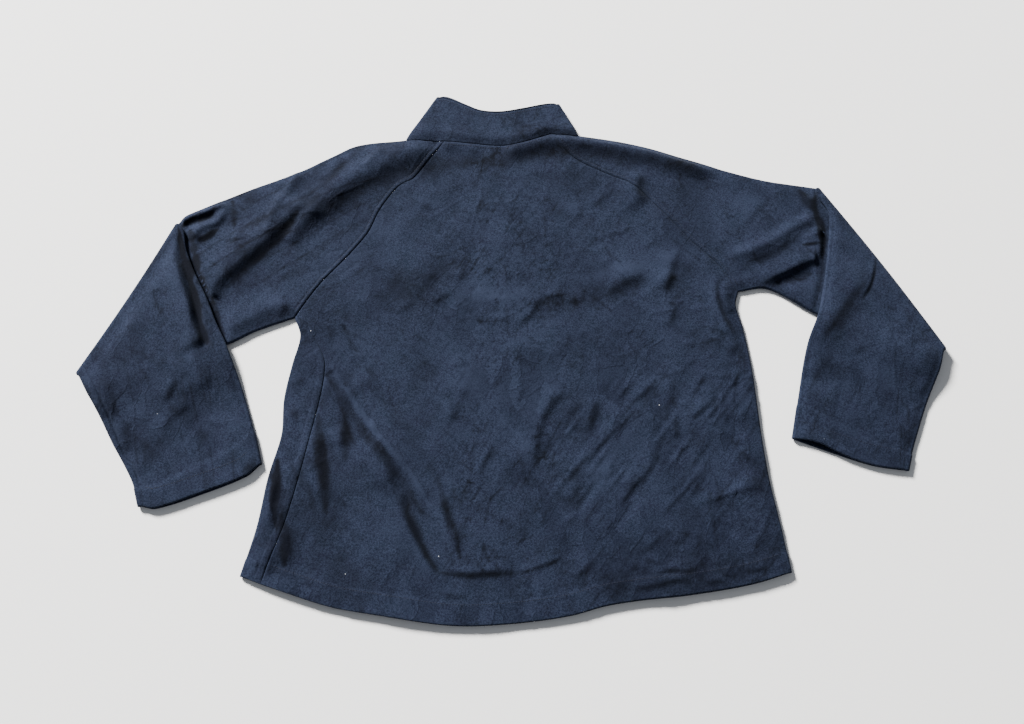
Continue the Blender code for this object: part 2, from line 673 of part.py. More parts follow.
def sleeve(name, material):
    sideways = -1.0 if name == "left" else 1.0
    armpit = np.array(BACK_RAGLAN[name][0], float)
    neck = neck_centre(name)
    inside_arm = (sideways * 350.0, 130.0)
    rim = EDGE_ROLL + WALL / 2
    rows = steps(UPPER_ARM_STEPS)
    low_edge = inset(along(dense_curve(UNDERARM[name]), rows), inside_arm, rim)
    high_edge = inset(along(dense_curve(SHOULDER[name]), rows), inside_arm, rim)
    low_edge[0] = armpit
    high_edge[0] = neck

    # The line that the sleeve folds about, set in so that the fold ends at the outline.
    low_end = np.array(UNDERARM[name][-1], float)
    high_end = np.array(SHOULDER[name][-1], float)
    line = (high_end - low_end) / np.linalg.norm(high_end - low_end)
    fold_out = np.array([-line[1], line[0]])
    if fold_out[0] * sideways < 0:
        fold_out = -fold_out
    low_edge[-1] = low_end - fold_out * ELBOW_AXIS + line * rim
    high_edge[-1] = high_end - fold_out * ELBOW_AXIS - line * rim

    back_edge = armhole(name, BACK_RAGLAN, BACK_RAGLAN[name][-1])
    front_edge = armhole(name, FRONT_RAGLAN, FRONT_RAGLAN[name][-1])
    across = arc_fractions(back_edge)[:, None]
    fold_line = low_edge[-1] * (1 - across) + high_edge[-1] * across
    top_plan = panel(back_edge, fold_line, low_edge, high_edge)
    low_plan = panel(front_edge, fold_line, low_edge, high_edge)
    near_fold = smoothstep(rows, FLATTENS_AT, 1.0)[:, None]
    top_z = upper_height(top_plan[..., 0], top_plan[..., 1])
    top_z = top_z * (1 - near_fold) + (WALL / 2 + ELBOW_SPACING) * near_fold
    low_z = np.full(low_plan.shape[:2], WALL / 2)
    low_out = outward(low_edge, inside_arm)
    high_out = outward(high_edge, inside_arm)
    low_out[0] = np.array([sideways, -1.0]) / math.sqrt(2)
    high_out[0] = neck_out(name)
    low_out[-1] = -line
    high_out[-1] = line
    ring, ring_normals = tube_rings(top_plan, top_z, low_plan, low_z, low_out, high_out)

    # Each ring at the elbow is the last one, turned about the fold line.
    last, last_normal = ring[-1], ring_normals[-1]
    level = ELBOW_AXIS - last[:, 2]
    share = (last[:, :2] - low_edge[-1]) @ line / np.linalg.norm(high_edge[-1] - low_edge[-1])
    bow = ELBOW_BOW[name] * np.sin(math.pi * np.clip(share, 0, 1))
    for step in range(1, ELBOW_STEPS + 1):
        angle = math.pi * step / ELBOW_STEPS
        turned = np.zeros(last.shape)
        turned[:, :2] = last[:, :2] + fold_out * ((level + bow) * math.sin(angle))[:, None]
        turned[:, 2] = ELBOW_AXIS - level * math.cos(angle)
        normal = last_normal.copy()
        normal[:, :2] -= fold_out * (last_normal[:, 2] * math.sin(angle))[:, None]
        normal[:, 2] = last_normal[:, 2] * math.cos(angle)
        ring = np.concatenate([ring, turned[None]])
        ring_normals = np.concatenate([ring_normals, normal[None]])

    # The forearm: what was the lower layer is now the upper one.
    cuff = CUFF_DEPTH / FOREARM_LENGTH
    single = cuff + HEM_STEP / FOREARM_LENGTH
    rows = np.concatenate([np.linspace(0, 1 - single, FOREARM_STEPS), [1 - cuff, 1.0]])
    inside_forearm = (sideways * 455.0, -60.0)
    outer = inset(along(dense_curve(FOREARM_OUTER[name]), rows), inside_forearm, rim)
    inner = inset(along(dense_curve(FOREARM_INNER[name]), rows), inside_forearm, rim)
    outer[0] = top_plan[-1, 0]
    inner[0] = top_plan[-1, -1]
    cuff_line = fit_ends(along(dense_curve(CUFF[name]), across[:, 0]), outer[-1], inner[-1])
    forearm = fill(top_plan[-1], cuff_line, outer, inner)
    lift = forearm_lift(name, forearm[..., 0], forearm[..., 1])
    walls = np.full(len(rows), WALL)
    walls[-2:] = HEM_WALL
    base = np.broadcast_to(walls[:, None] / 2, lift.shape)
    low_z = base + lift
    settle = smoothstep(rows, 0.0, SETTLES_AT)[:, None]
    low_z = low_z * settle + (2 * ELBOW_AXIS - WALL / 2 - ELBOW_SPACING) * (1 - settle)
    top_z = LAY_HEIGHT + lift + fold_heights(FOREARM_FOLDS[name], forearm[..., 0], forearm[..., 1])
    top_z = top_z * settle + (2 * ELBOW_AXIS - WALL / 2) * (1 - settle)
    outer_out = outward(outer, inside_forearm)
    inner_out = outward(inner, inside_forearm)
    outer_out[0] = -line
    inner_out[0] = line
    over, over_normals = tube_rings(forearm, top_z, forearm, low_z, outer_out, inner_out)
    over, over_normals = flip_rings(over, over_normals)
    ring = np.concatenate([ring, over[1:]])
    ring_normals = np.concatenate([ring_normals, over_normals[1:]])
    ring_walls = np.full(ring.shape[:2], WALL)
    ring_walls[-2:] = HEM_WALL
    cloth = Cloth()
    cloth.add(ring, ring_normals, ring_walls)
    return cloth.build("sleeve_" + name, material)


def tube_rings(top_plan, top_z, low_plan, low_z, low_out, high_out):
    """Closed rings: the top layer, the high edge, the low layer and the low edge."""
    top, top_normals = flat_layer(top_plan, top_z)
    low, low_normals = flat_layer(low_plan, low_z)
    low_normals = -low_normals
    high_roll, high_normals = rolled_edge(top_plan[:, -1], low_plan[:, -1], top_z[:, -1],
                                          low_z[:, -1], high_out)
    low_roll, under_normals = rolled_edge(top_plan[:, 0], low_plan[:, 0], top_z[:, 0],
                                          low_z[:, 0], low_out)
    places = [top, high_roll[:, 1:], low[:, ::-1][:, 1:], low_roll[:, ::-1][:, 1:]]
    normals = [top_normals, high_normals[:, 1:], low_normals[:, ::-1][:, 1:],
               under_normals[:, ::-1][:, 1:]]
    return np.concatenate(places, axis=1), np.concatenate(normals, axis=1)


def flip_rings(ring, normals):
    """The same rings with the low layer first, as the sleeve lies past its fold."""
    columns = (ring.shape[1] - 1 - 2 * ROLL_STEPS) // 2
    body = ring[:, :-1]
    turn = body[:, ::-1]
    flat = normals[:, :-1][:, ::-1]
    start = len(body[0]) - 1 - (2 * columns + ROLL_STEPS)
    turn = np.roll(turn, -start, axis=1)
    flat = np.roll(flat, -start, axis=1)
    return (np.concatenate([turn, turn[:, :1]], axis=1),
            np.concatenate([flat, flat[:, :1]], axis=1))


# ---- Collar -----------------------------------------------------------------------
def collar(material):
    """A band of doubled cloth, folded flat at both sides and open at the zip."""
    front_low, front_high, side_low, side_high, out_low = {}, {}, {}, {}, {}
    back_top = dense_curve(COLLAR_TOP)
    for name, sideways in (("left", -1.0), ("right", 1.0)):
        centre = neck_centre(name)
        side, down = COLLAR_CORNER_INSET
        top_corner = np.array(COLLAR_FRONT_TOP[name][0], float) - (sideways * side, down)
        front_neck = along(dense_curve(FRONT_NECK[name]), steps(COLLAR_FRONT_STEPS))
        front_neck[-1, 0] = ZIP_X + sideways * SLIT_WIDTH / 2
        turn_low = along(np.array([centre, FRONT_NECK[name][0]], float), steps(COLLAR_TURN_STEPS))
        front_low[name] = np.vstack([turn_low, front_neck[1:]])
        curve = dense_curve(COLLAR_FRONT_TOP[name])
        curve = np.vstack([top_corner, curve[COLLAR_CORNER_POINTS:]])
        front_high[name] = along(curve, arc_fractions(front_low[name]))
        front_high[name][-1, 0] = ZIP_X + sideways * SLIT_WIDTH / 2
        side_low[name], side_high[name] = centre, top_corner
        out_low[name] = neck_out(name)
    neck = along(dense_curve(BACK_NECK), steps(NECK_STEPS))
    left_turn = along(np.array([side_low["left"], neck[0]]), steps(COLLAR_TURN_STEPS))
    right_turn = along(np.array([neck[-1], side_low["right"]]), steps(COLLAR_TURN_STEPS))
    back_low = np.vstack([left_turn, neck[1:], right_turn[1:]])
    inner_top = back_top[(back_top[:, 0] > side_high["left"][0] + COLLAR_SIDE_MARGIN)
                         & (back_top[:, 0] < side_high["right"][0] - COLLAR_SIDE_MARGIN)]
    inner_top = np.vstack([side_high["left"], inner_top, side_high["right"]])
    back_high = along(inner_top, arc_fractions(back_low))
    shift = np.array([0.0, SEAM_GAP / 2])
    rings, ring_normals = [], []
    for share in steps(COLLAR_STEPS):
        top_row = (back_low + shift) * (1 - share) + back_high * share
        low_left = (front_low["left"] + shift) * (1 - share) + front_high["left"] * share
        low_right = (front_low["right"] + shift) * (1 - share) + front_high["right"] * share
        over_zip = np.exp(-((top_row[:, 0] - ZIP_X) / ZIP_RIDGE_WIDTH)**2)
        top_z = COLLAR_HEIGHT + COLLAR_ZIP_RIDGE * over_zip
        low_z = np.full(len(low_left), COLLAR_WALL / 2)
        row, normal = flat_layer(top_row[None], top_z[None])
        left_out = out_toward(out_low["left"], side_low["left"], side_high["left"], share)
        right_out = out_toward(out_low["right"], side_low["right"], side_high["right"], share)
        left_roll, left_normal = rolled_edge(top_row[:1], low_left[:1], top_z[:1], low_z[:1],
                                             left_out[None])
        right_roll, right_normal = rolled_edge(top_row[-1:], low_right[:1], top_z[-1:],
                                               low_z[:1], right_out[None])
        under_left, under_left_normal = flat_layer(low_left[None], low_z[None])
        under_right, under_right_normal = flat_layer(low_right[None], low_z[None])
        rings.append(np.concatenate([under_left[0][::-1], left_roll[0][::-1][1:], row[0][1:],
                                     right_roll[0][1:], under_right[0][1:]]))
        ring_normals.append(np.concatenate([-under_left_normal[0], left_normal[0][::-1][1:],
                                            normal[0][1:], right_normal[0][1:],
                                            -under_right_normal[0][1:]]))
    cloth = Cloth()
    ring = np.array(rings)
    cloth.add(ring, np.array(ring_normals), np.full(ring.shape[:2], COLLAR_WALL))
    return cloth.build("collar", material)


def out_toward(first, low, high, share):
    """The outward direction of the collar's folded side, from the neck seam up."""
    run = (high - low) / np.linalg.norm(high - low)
    square = np.array([-run[1], run[0]])
    if square @ first < 0:
        square = -square
    out = first * max(0.0, 1 - 4 * share) + square * min(1.0, 4 * share)
    return out / np.linalg.norm(out)


# ---- Zip --------------------------------------------------------------------------
def block(name, x, y, z, material):
    """A plain block between pairs of limits."""
    corners = [(i, j, k) for k in z for j in y for i in x]
    faces = [(0, 1, 3, 2), (4, 5, 7, 6), (0, 1, 5, 4), (2, 3, 7, 6), (0, 2, 6, 4), (1, 3, 7, 5)]
    return make_object(name, np.array(corners) * MM, faces, material)


def extrude_outline(name, outline, z, material):
    """A flat plate with a given outline, between two heights."""
    count = len(outline)
    vertices = [(x, y, level) for level in z for x, y in outline]
    faces = [tuple(range(count)), tuple(range(count, 2 * count))]
    faces += [(i, (i + 1) % count, (i + 1) % count + count, i + count) for i in range(count)]
    return make_object(name, np.array(vertices) * MM, faces, material)


def tape(name, sideways, material):
    inner = ZIP_X + sideways * TAPE_SPLIT / 2
    outer = ZIP_X + sideways * (TAPE_SPLIT / 2 + TAPE_WIDTH)
    z = (TAPE_Z - TAPE_THICKNESS / 2, TAPE_Z + TAPE_THICKNESS / 2)
    return block(name, sorted((inner, outer)), (TAPE_BOTTOM, TAPE_TOP), z, material)


def join(target, others):
    """Boolean union of other objects into a target, which keeps its name."""
    for other in others:
        union = target.modifiers.new("union", "BOOLEAN")
        union.operation = "UNION"
        union.solver = "EXACT"
        union.object = other
        other.hide_render = True
        other.display_type = "WIRE"
    return target


def slider(material):
    """Two plates joined by a post, with a bridge under the lower plate for the tab."""
    tail = SLIDER_Y - SLIDER_LENGTH * SLIDER_TAIL_SHARE
    nose = tail + SLIDER_LENGTH
    half_tail = SLIDER_TAIL_WIDTH / 2
    half_width = SLIDER_WIDTH / 2
    outline = [(-half_tail, tail), (half_tail, tail),
               (half_width, nose - SLIDER_SHOULDER), (half_width - SLIDER_CORNER, nose),
               (SLIDER_CORNER - half_width, nose), (-half_width, nose - SLIDER_SHOULDER)]
    outline = [(ZIP_X + x, y) for x, y in outline]
    body = extrude_outline("zip_slider", outline, SLIDER_LOW_PLATE, material)
    top = extrude_outline("slider_top_plate", outline, SLIDER_TOP_PLATE, material)
    post_x = (ZIP_X - POST_WIDTH / 2, ZIP_X + POST_WIDTH / 2)
    post_nose = nose - POST_INSET
    post = block("slider_post", post_x, (post_nose - POST_LENGTH, post_nose),
                 (SLIDER_LOW_PLATE[1] - PLATE_OVERLAP, SLIDER_TOP_PLATE[0] + PLATE_OVERLAP),
                 material)
    bridge_x = (ZIP_X - BRIDGE_WIDTH / 2, ZIP_X + BRIDGE_WIDTH / 2)
    strip_top = PIN_Z - PIN_SIZE / 2 - SEAM_GAP
    strip_bottom = strip_top - BRIDGE_THICKNESS
    half = BRIDGE_SPAN / 2
    strip = block("slider_bridge", bridge_x, (SLIDER_Y - half, SLIDER_Y + half),
                  (strip_bottom, strip_top), material)
    legs = []
    for sign in (-1.0, 1.0):
        y = sorted((SLIDER_Y + sign * half, SLIDER_Y + sign * (half - BRIDGE_LEG)))
        legs.append(block(f"slider_leg_{'low' if sign < 0 else 'high'}", bridge_x, y,
                          (strip_bottom, SLIDER_LOW_PLATE[0] + PLATE_OVERLAP), material))
    return join(body, [top, post, strip] + legs)


def pull_tab(material):
    """A flat tab whose end bar passes through the slider's bridge."""
    half = TAB_WIDTH / 2
    bar = PIN_SIZE / 2
    z = (-PIN_SIZE / 2, PIN_SIZE / 2)
    outline = [(-half, bar), (half, bar), (half, TAB_CORNER - TAB_LENGTH),
               (half - TAB_CORNER, -TAB_LENGTH), (TAB_CORNER - half, -TAB_LENGTH),
               (-half, TAB_CORNER - TAB_LENGTH)]
    tab = extrude_outline("zip_pull_tab", outline, z, material)
    width, length = TAB_WINDOW
    window = block("tab_window", (-width / 2, width / 2), (-bar - length, -bar),
                   (-2 * PIN_SIZE, 2 * PIN_SIZE), material)
    cut = tab.modifiers.new("window", "BOOLEAN")
    cut.operation = "DIFFERENCE"
    cut.solver = "EXACT"
    cut.object = window
    window.hide_render = True
    window.display_type = "WIRE"
    for thing in (tab, window):
        thing.location = (ZIP_X * MM, SLIDER_Y * MM, PIN_Z * MM)
    return tab


def zip_pieces(cloth_material, metal):
    stop_y = (SLIT_BOTTOM + STOP_START, SLIT_BOTTOM + STOP_START + STOP_SIZE[1])
    slider_tail = SLIDER_Y - SLIDER_LENGTH * SLIDER_TAIL_SHARE
    for name, sideways in (("left", -1.0), ("right", 1.0)):
        tape(f"zip_tape_{name}", sideways, cloth_material)
        chain = sorted((ZIP_X + sideways * CHAIN_START,
                        ZIP_X + sideways * (CHAIN_START + CHAIN_WIDTH)))
        block(f"zip_chain_{name}", chain, (stop_y[1] + SEAM_GAP, slider_tail - SEAM_GAP),
              (CHAIN_Z[0], TAPE_Z + TAPE_THICKNESS / 2), metal)
    block("zip_bottom_stop", (ZIP_X - STOP_SIZE[0] / 2, ZIP_X + STOP_SIZE[0] / 2),
          stop_y, (CHAIN_Z[0] - STOP_DROP, CHAIN_Z[1]), metal)
    slider(metal)
    pull_tab(metal)


def main():
    for thing in list(bpy.data.objects):
        bpy.data.objects.remove(thing, do_unlink=True)
    fleece = make_material("navy_fleece", FLEECE, 0.95)
    tape_cloth = make_material("zip_tape", TAPE_CLOTH, 0.8)
    metal = make_material("zip_metal", ZIP_METAL, 0.4, 0.8)
    back_panel(fleece)
    front_panel(fleece)
    sleeve("left", fleece)
    sleeve("right", fleece)
    collar(fleece)
    zip_pieces(tape_cloth, metal)


main()
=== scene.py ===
# %% [markdown]
# # A quarter-zip fleece pullover, laid flat with its back upward
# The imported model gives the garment's true size and place, and this lesson dresses it.
# Each piece of cloth is rebuilt as a thin, finely divided shell on the form of its solid,
# so that folds, seams and stitching can be shaped in it. The frame is loaded first and
# nothing in it is moved.

# %% Load the frame
import math
from collections import namedtuple

import bmesh
import bpy
import numpy as np
from mathutils.bvhtree import BVHTree
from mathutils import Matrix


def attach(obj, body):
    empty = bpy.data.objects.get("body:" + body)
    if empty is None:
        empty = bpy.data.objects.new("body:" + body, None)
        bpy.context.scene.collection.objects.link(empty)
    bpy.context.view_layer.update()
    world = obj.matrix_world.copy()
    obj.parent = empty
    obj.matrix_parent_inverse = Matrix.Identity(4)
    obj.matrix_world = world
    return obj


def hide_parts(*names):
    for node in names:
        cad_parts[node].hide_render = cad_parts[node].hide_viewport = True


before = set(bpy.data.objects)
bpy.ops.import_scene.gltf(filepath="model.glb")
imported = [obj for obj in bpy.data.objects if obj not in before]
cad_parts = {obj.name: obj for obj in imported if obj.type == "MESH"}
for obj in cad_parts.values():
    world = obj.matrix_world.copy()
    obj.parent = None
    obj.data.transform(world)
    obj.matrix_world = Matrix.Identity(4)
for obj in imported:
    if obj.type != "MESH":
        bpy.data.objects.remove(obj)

for name in ("Cube", "Light", "Camera"):
    if name in bpy.data.objects:
        bpy.data.objects.remove(bpy.data.objects[name], do_unlink=True)
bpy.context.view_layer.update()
MM = 0.001
scene = bpy.context.scene

# %% [markdown]
# ## Camera and light
# The pullover is seen from above and a little from the hem side. One lamp stands low
# beyond the collar, like a window, so each fold shows a lit slope and a dark one, and a
# weak grey surround fills the shadows. The floor is a plain pale sheet.

# %% Camera, lamp, surround and floor
CAMERA_TILT = math.radians(20)
CAMERA_DISTANCE = 1.6
CAMERA_TARGET_Y = -0.032
CAMERA_LENS = 41.5
CAMERA_SENSOR = 36.0
LAMP_HEIGHT_ANGLE = math.radians(29)
LAMP_TURN = math.radians(39)
LAMP_DISTANCE = 10.0
LAMP_SIZE = 2.4
LAMP_POWER = 5600.0
LAMP_COLOUR = (1.0, 0.985, 0.96)
SURROUND = (0.80, 0.84, 0.90, 1.0)
SURROUND_STRENGTH = 0.30
FLOOR_DROP = 0.0004
FLOOR_WIDTH = 24.0
FLOOR_GREY = 0.93

camera_data = bpy.data.cameras.new("camera")
camera_data.lens = CAMERA_LENS
camera_data.sensor_width = CAMERA_SENSOR
camera = bpy.data.objects.new("camera", camera_data)
camera.location = (0.0, CAMERA_TARGET_Y - CAMERA_DISTANCE * math.sin(CAMERA_TILT),
                   CAMERA_DISTANCE * math.cos(CAMERA_TILT))
camera.rotation_euler = (CAMERA_TILT, 0.0, 0.0)
scene.collection.objects.link(camera)
scene.camera = camera

lamp_data = bpy.data.lights.new("lamp", "AREA")
lamp_data.shape = "DISK"
lamp_data.size = LAMP_SIZE
lamp_data.energy = LAMP_POWER
lamp_data.color = LAMP_COLOUR
lamp = bpy.data.objects.new("lamp", lamp_data)
lamp.location = (-math.sin(LAMP_TURN) * math.cos(LAMP_HEIGHT_ANGLE) * LAMP_DISTANCE,
                 math.cos(LAMP_TURN) * math.cos(LAMP_HEIGHT_ANGLE) * LAMP_DISTANCE,
                 math.sin(LAMP_HEIGHT_ANGLE) * LAMP_DISTANCE)
lamp.rotation_euler = (LAMP_HEIGHT_ANGLE - math.pi / 2, 0.0, LAMP_TURN)
scene.collection.objects.link(lamp)

world = bpy.data.worlds.new("surround")
world.use_nodes = True
sky = world.node_tree.nodes["Background"]
sky.inputs["Color"].default_value = SURROUND
sky.inputs["Strength"].default_value = SURROUND_STRENGTH
scene.world = world

# %% [markdown]
# ## Finishes
# Polyester fleece is a knit brushed into a short dense pile. It hardly shines, but its
# raised fibres catch light at a slant, which the sheen gives. The pile clumps every
# millimetre or so, the dye is a little uneven, and a few white specks of lint cling to it.
# The cloth also carries a painted shade, a value at every point of it. The shader makes
# the navy darker where that is below 0 and lighter where it is above 0. It also paints
# shade along a faint web of creases and on some of the facets between them.

# %% Helpers for finishes
def new_finish(name):
    """A material with an empty board of nodes round one shader."""
    material = bpy.data.materials.new(name)
    material.use_nodes = True
    return material, material.node_tree, material.node_tree.nodes["Principled BSDF"]


def add(tree, kind, links=(), **values):
    """A node with its sockets set: links come from other nodes, values are constants."""
    node = tree.nodes.new(kind)
    for key, value in values.items():
        setattr(node, key, value)
    for socket, source in dict(links).items():
        target = node.inputs[socket]
        if hasattr(source, "is_output"):
            tree.links.new(source, target)
        else:
            target.default_value = source
    return node


def noise(tree, place, scale, detail=2.0, roughness=0.5):
    """Soft random lumps; the scale is in lumps per metre."""
    node = add(tree, "ShaderNodeTexNoise", {"Vector": place, "Scale": scale, "Detail": detail,
                                            "Roughness": roughness})
    return node.outputs["Fac"]


def remap(tree, value, low, high, to_low=0.0, to_high=1.0):
    """A value stretched from one range to another and held inside it."""
    node = add(tree, "ShaderNodeMapRange", {"Value": value, "From Min": low, "From Max": high,
                                            "To Min": to_low, "To Max": to_high})
    return node.outputs["Result"]


def mix_colour(tree, share, first, second):
    """Two colours mixed by a share from 0 to 1."""
    links = {0: share, 6: first, 7: second}
    return add(tree, "ShaderNodeMix", links, data_type="RGBA").outputs[2]


def reckon(tree, kind, operation, first, second):
    """Two values or two places added or multiplied."""
    return add(tree, kind, {0: first, 1: second}, operation=operation).outputs[0]


def bump(tree, height, distance, strength, below=None):
    """A relief from a height, laid over another relief."""
    links = {"Height": height, "Distance": distance, "Strength": strength}
    if below is not None:
        links["Normal"] = below
    return add(tree, "ShaderNodeBump", links).outputs["Normal"]


# %% Navy fleece
NAVY_DEEP = (0.0026, 0.0036, 0.0094, 1.0)
NAVY_VIOLET = (0.0080, 0.0089, 0.0217, 1.0)
NAVY_TEAL = (0.0058, 0.0103, 0.0207, 1.0)
# lighter navy for the grain, and for the painted light where the painted shade is above 0
NAVY_GRAIN_AND_PAINTED_LIGHT = (0.0170, 0.0227, 0.0426, 1.0)
# near-black navy for the painted shade below 0
NAVY_PAINTED_SHADE = (0.0006, 0.0009, 0.0022, 1.0)
LINT = (0.62, 0.64, 0.66, 1.0)
CREASE_CELLS = 34.0      # to the metre
CREASE_STRETCH = (1.2, 0.55, 0.0)
SPECK_CELLS = 22.0


def fleece_finish():
    """Navy pile: uneven dye, grain, painted shade, faint creases with painted shade on their lines and
    facets, and specks of lint.
    """
    material, tree, shader = new_finish("navy_fleece")
    place = add(tree, "ShaderNodeTexCoord").outputs["Object"]
    patches = noise(tree, place, 30.0, 5.0, 0.72)
    clouding = noise(tree, place, 21.0, 3.0, 0.6)
    grain = noise(tree, place, 400.0, 3.0, 0.8)
    pile = noise(tree, place, 900.0, 2.0, 0.6)
    shade = add(tree, "ShaderNodeAttribute", attribute_name="shade").outputs["Fac"]
    warp = remap(tree, noise(tree, place, 24.0, 3.0, 0.6), 0.3, 0.7, -0.009, 0.009)
    bent = reckon(tree, "ShaderNodeVectorMath", "ADD", place, warp)
    flat_place = reckon(tree, "ShaderNodeVectorMath", "MULTIPLY", bent, CREASE_STRETCH)
    cells = add(tree, "ShaderNodeTexVoronoi", {"Vector": flat_place, "Scale": CREASE_CELLS},
                feature="DISTANCE_TO_EDGE")
    where = noise(tree, place, 9.0, 2.0, 0.5)
    # thin lines of the crease web: they dent the relief and are painted darker as painted shade
    line = remap(tree, cells.outputs["Distance"], 0.0, 0.050, 1.0, 0.0)
    crease = reckon(tree, "ShaderNodeMath", "MULTIPLY", line, remap(tree, where, 0.47, 0.62))
    # facets between the crease lines, some painted darker as painted shade
    facets = add(tree, "ShaderNodeTexVoronoi", {"Vector": flat_place, "Scale": CREASE_CELLS})
    facet = reckon(tree, "ShaderNodeMath", "MULTIPLY", remap(tree, facets.outputs["Color"], 0.3, 0.7),
                   remap(tree, where, 0.42, 0.56))
    speck_place = reckon(tree, "ShaderNodeVectorMath", "MULTIPLY", place, (1.0, 1.0, 0.0))
    specks = add(tree, "ShaderNodeTexVoronoi", {"Vector": speck_place, "Scale": SPECK_CELLS})
    base = mix_colour(tree, remap(tree, patches, 0.32, 0.68), NAVY_VIOLET, NAVY_TEAL)
    # each tint in turn: a value, its range, the share of the colour at either end, the colour
    for value, low, high, to_low, to_high, colour in (
            (clouding, 0.30, 0.52, 0.25, 0.0, NAVY_DEEP), (grain, 0.40, 0.58, 0.0, 1.15, NAVY_GRAIN_AND_PAINTED_LIGHT),
            # the shade, crease and facet tints paint light and shade onto the navy
            (pile, 0.30, 0.52, 0.85, 0.0, NAVY_DEEP), (shade, 0.0, 0.6, 0.0, 0.9, NAVY_GRAIN_AND_PAINTED_LIGHT),
            (shade, -1.0, 0.0, 1.0, 0.0, NAVY_PAINTED_SHADE), (crease, 0.0, 1.0, 0.0, 0.30, NAVY_DEEP),
            (facet, 0.0, 1.0, 0.0, 0.34, NAVY_DEEP),
            (specks.outputs["Distance"], 0.010, 0.017, 0.7, 0.0, LINT)):
        base = mix_colour(tree, remap(tree, value, low, high, to_low, to_high), base, colour)
    tree.links.new(base, shader.inputs["Base Color"])
    wrinkled = bump(tree, crease, 0.0007, 0.4)
    coarse = bump(tree, grain, 0.0007, 0.45, wrinkled)
    fine = bump(tree, pile, 0.0005, 0.70, coarse)
    tree.links.new(fine, shader.inputs["Normal"])
    shader.inputs["Roughness"].default_value = 0.92
    shader.inputs["Specular IOR Level"].default_value = 0.06
    shader.inputs["Sheen Weight"].default_value = 0.03
    shader.inputs["Sheen Roughness"].default_value = 0.55
    shader.inputs["Sheen Tint"].default_value = (0.55, 0.65, 0.85, 1.0)
    return material


fleece = fleece_finish()
print("fleece nodes", len(fleece.node_tree.nodes))

# %% Floor
floor_finish, _, floor_shader = new_finish("pale_floor")
floor_shader.inputs["Base Color"].default_value = (FLOOR_GREY, FLOOR_GREY, FLOOR_GREY, 1.0)
floor_shader.inputs["Roughness"].default_value = 0.9
bpy.ops.object.select_all(action="DESELECT")
bpy.ops.mesh.primitive_plane_add(size=FLOOR_WIDTH, location=(0.0, 0.0, -FLOOR_DROP))
floor = bpy.context.object
floor.name = "floor"
floor.data.materials.append(floor_finish)

# %% [markdown]
# ## The cut of the garment
# These are the outlines and seams that the solids were built from, in millimetres, so
# that the new cloth lies where they do. Only the left forearm's inner edge is drawn anew
# near the elbow. A raglan pullover has a back, a front, two sleeves whose seams run up to
# the neck, and a stand-up collar.

# %% Sizes and outlines
# in millimetres, from the middle of the garment, with the collar toward +Y
WALL = 2.0
COLLAR_WALL = 4.0
HEM_WALL = 3.4
HEM_DEPTH = 24.0
CUFF_DEPTH = 26.0
SEAM_GAP = 0.1
LAY_HEIGHT = 6.0
EDGE_ROLL = 2.5
RIM = EDGE_ROLL + WALL / 2
ELBOW_SPACING = 4.0
ELBOW_AXIS = 7.0
FOREARM_LIFT = 8.6
LIFT_SLOPE = 90.0
UNDERLAY = 1.0
ARM_START = 300.0
FOREARM_CROSSING = -60.0
COLLAR_HEIGHT = 8.6
ZIP_X = -25.0
ZIP_RIDGE = 2.3
SLIT_WIDTH = 12.0
SLIT_BOTTOM = 62.0
SLIT_FACING = 12.0
FACING_WALL = 4.3
SIDES = (("left", -1.0), ("right", 1.0))
SIDEWAYS = dict(SIDES)
INSIDE_BODY = (0.0, -150.0)

HEM = ((-346, -323), (-287, -343), (-229, -361), (-172, -371), (-78, -384), (-3, -382),
       (73, -372), (117, -360), (160, -353), (225, -346), (302, -333), (355, -318))
BODY_EDGE = {
    "left": ((-345, -323), (-328, -256), (-318, -190), (-305, -135), (-305, -86),
             (-297, -36), (-289, 5), (-298, 31)),
    "right": ((355, -318), (347, -262), (336, -196), (330, -135), (324, -44),
              (316, 15), (308, 50), (313, 70)),
}
SIDE_SEAM = {
    "left": ((-318, -333), (-290, -247), (-267, -142), (-252, -41), (-268, 0), (-295, 34)),
    "right": ((322, -328), (300, -230), (285, -130), (280, -40), (290, 20), (310, 72)),
}
BACK_RAGLAN = {
    "left": ((-295, 34), (-263, 83), (-226, 126), (-202, 159), (-187, 195), (-162, 232),
             (-139, 247), (-98, 304)),
    "right": ((310, 72), (290, 105), (251, 146), (210, 195), (171, 234), (127, 256),
              (85, 281), (55, 317)),
}
FRONT_RAGLAN = {
    "left": ((-295, 34), (-255, 85), (-210, 142), (-160, 215), (-122, 270)),
    "right": ((310, 72), (250, 108), (180, 158), (115, 218), (74, 272)),
}
NECK_CORNER = {"left": (-154, 307), "right": (97, 315)}
BACK_NECK = ((-98, 304), (-58, 300), (-14, 297), (19, 302), (55, 317))
FRONT_NECK = {
    "left": ((-122, 270), (-80, 249), (-37, 240)),
    "right": ((74, 272), (30, 249), (-13, 240)),
}
COLLAR_TOP = ((-111, 380), (-93, 378), (-68, 366), (-45, 356), (-16, 354), (17, 360),
              (49, 367), (70, 368))
COLLAR_FRONT_TOP = {
    "left": ((-111, 380), (-75, 345), (-31, 316)),
    "right": ((70, 368), (30, 340), (-19, 316)),
}
SHOULDER = {
    "left": ((-154, 307), (-222, 300), (-263, 279), (-305, 257), (-389, 221), (-457, 187),
             (-473, 173)),
    "right": ((97, 315), (171, 302), (271, 270), (356, 244), (437, 230)),
}
UNDERARM = {
    "left": ((-298, 31), (-350, 11), (-387, -8), (-480, -36), (-587, -52)),
    "right": ((313, 70), (353, 74), (419, 36), (500, 8), (589, -16)),
}
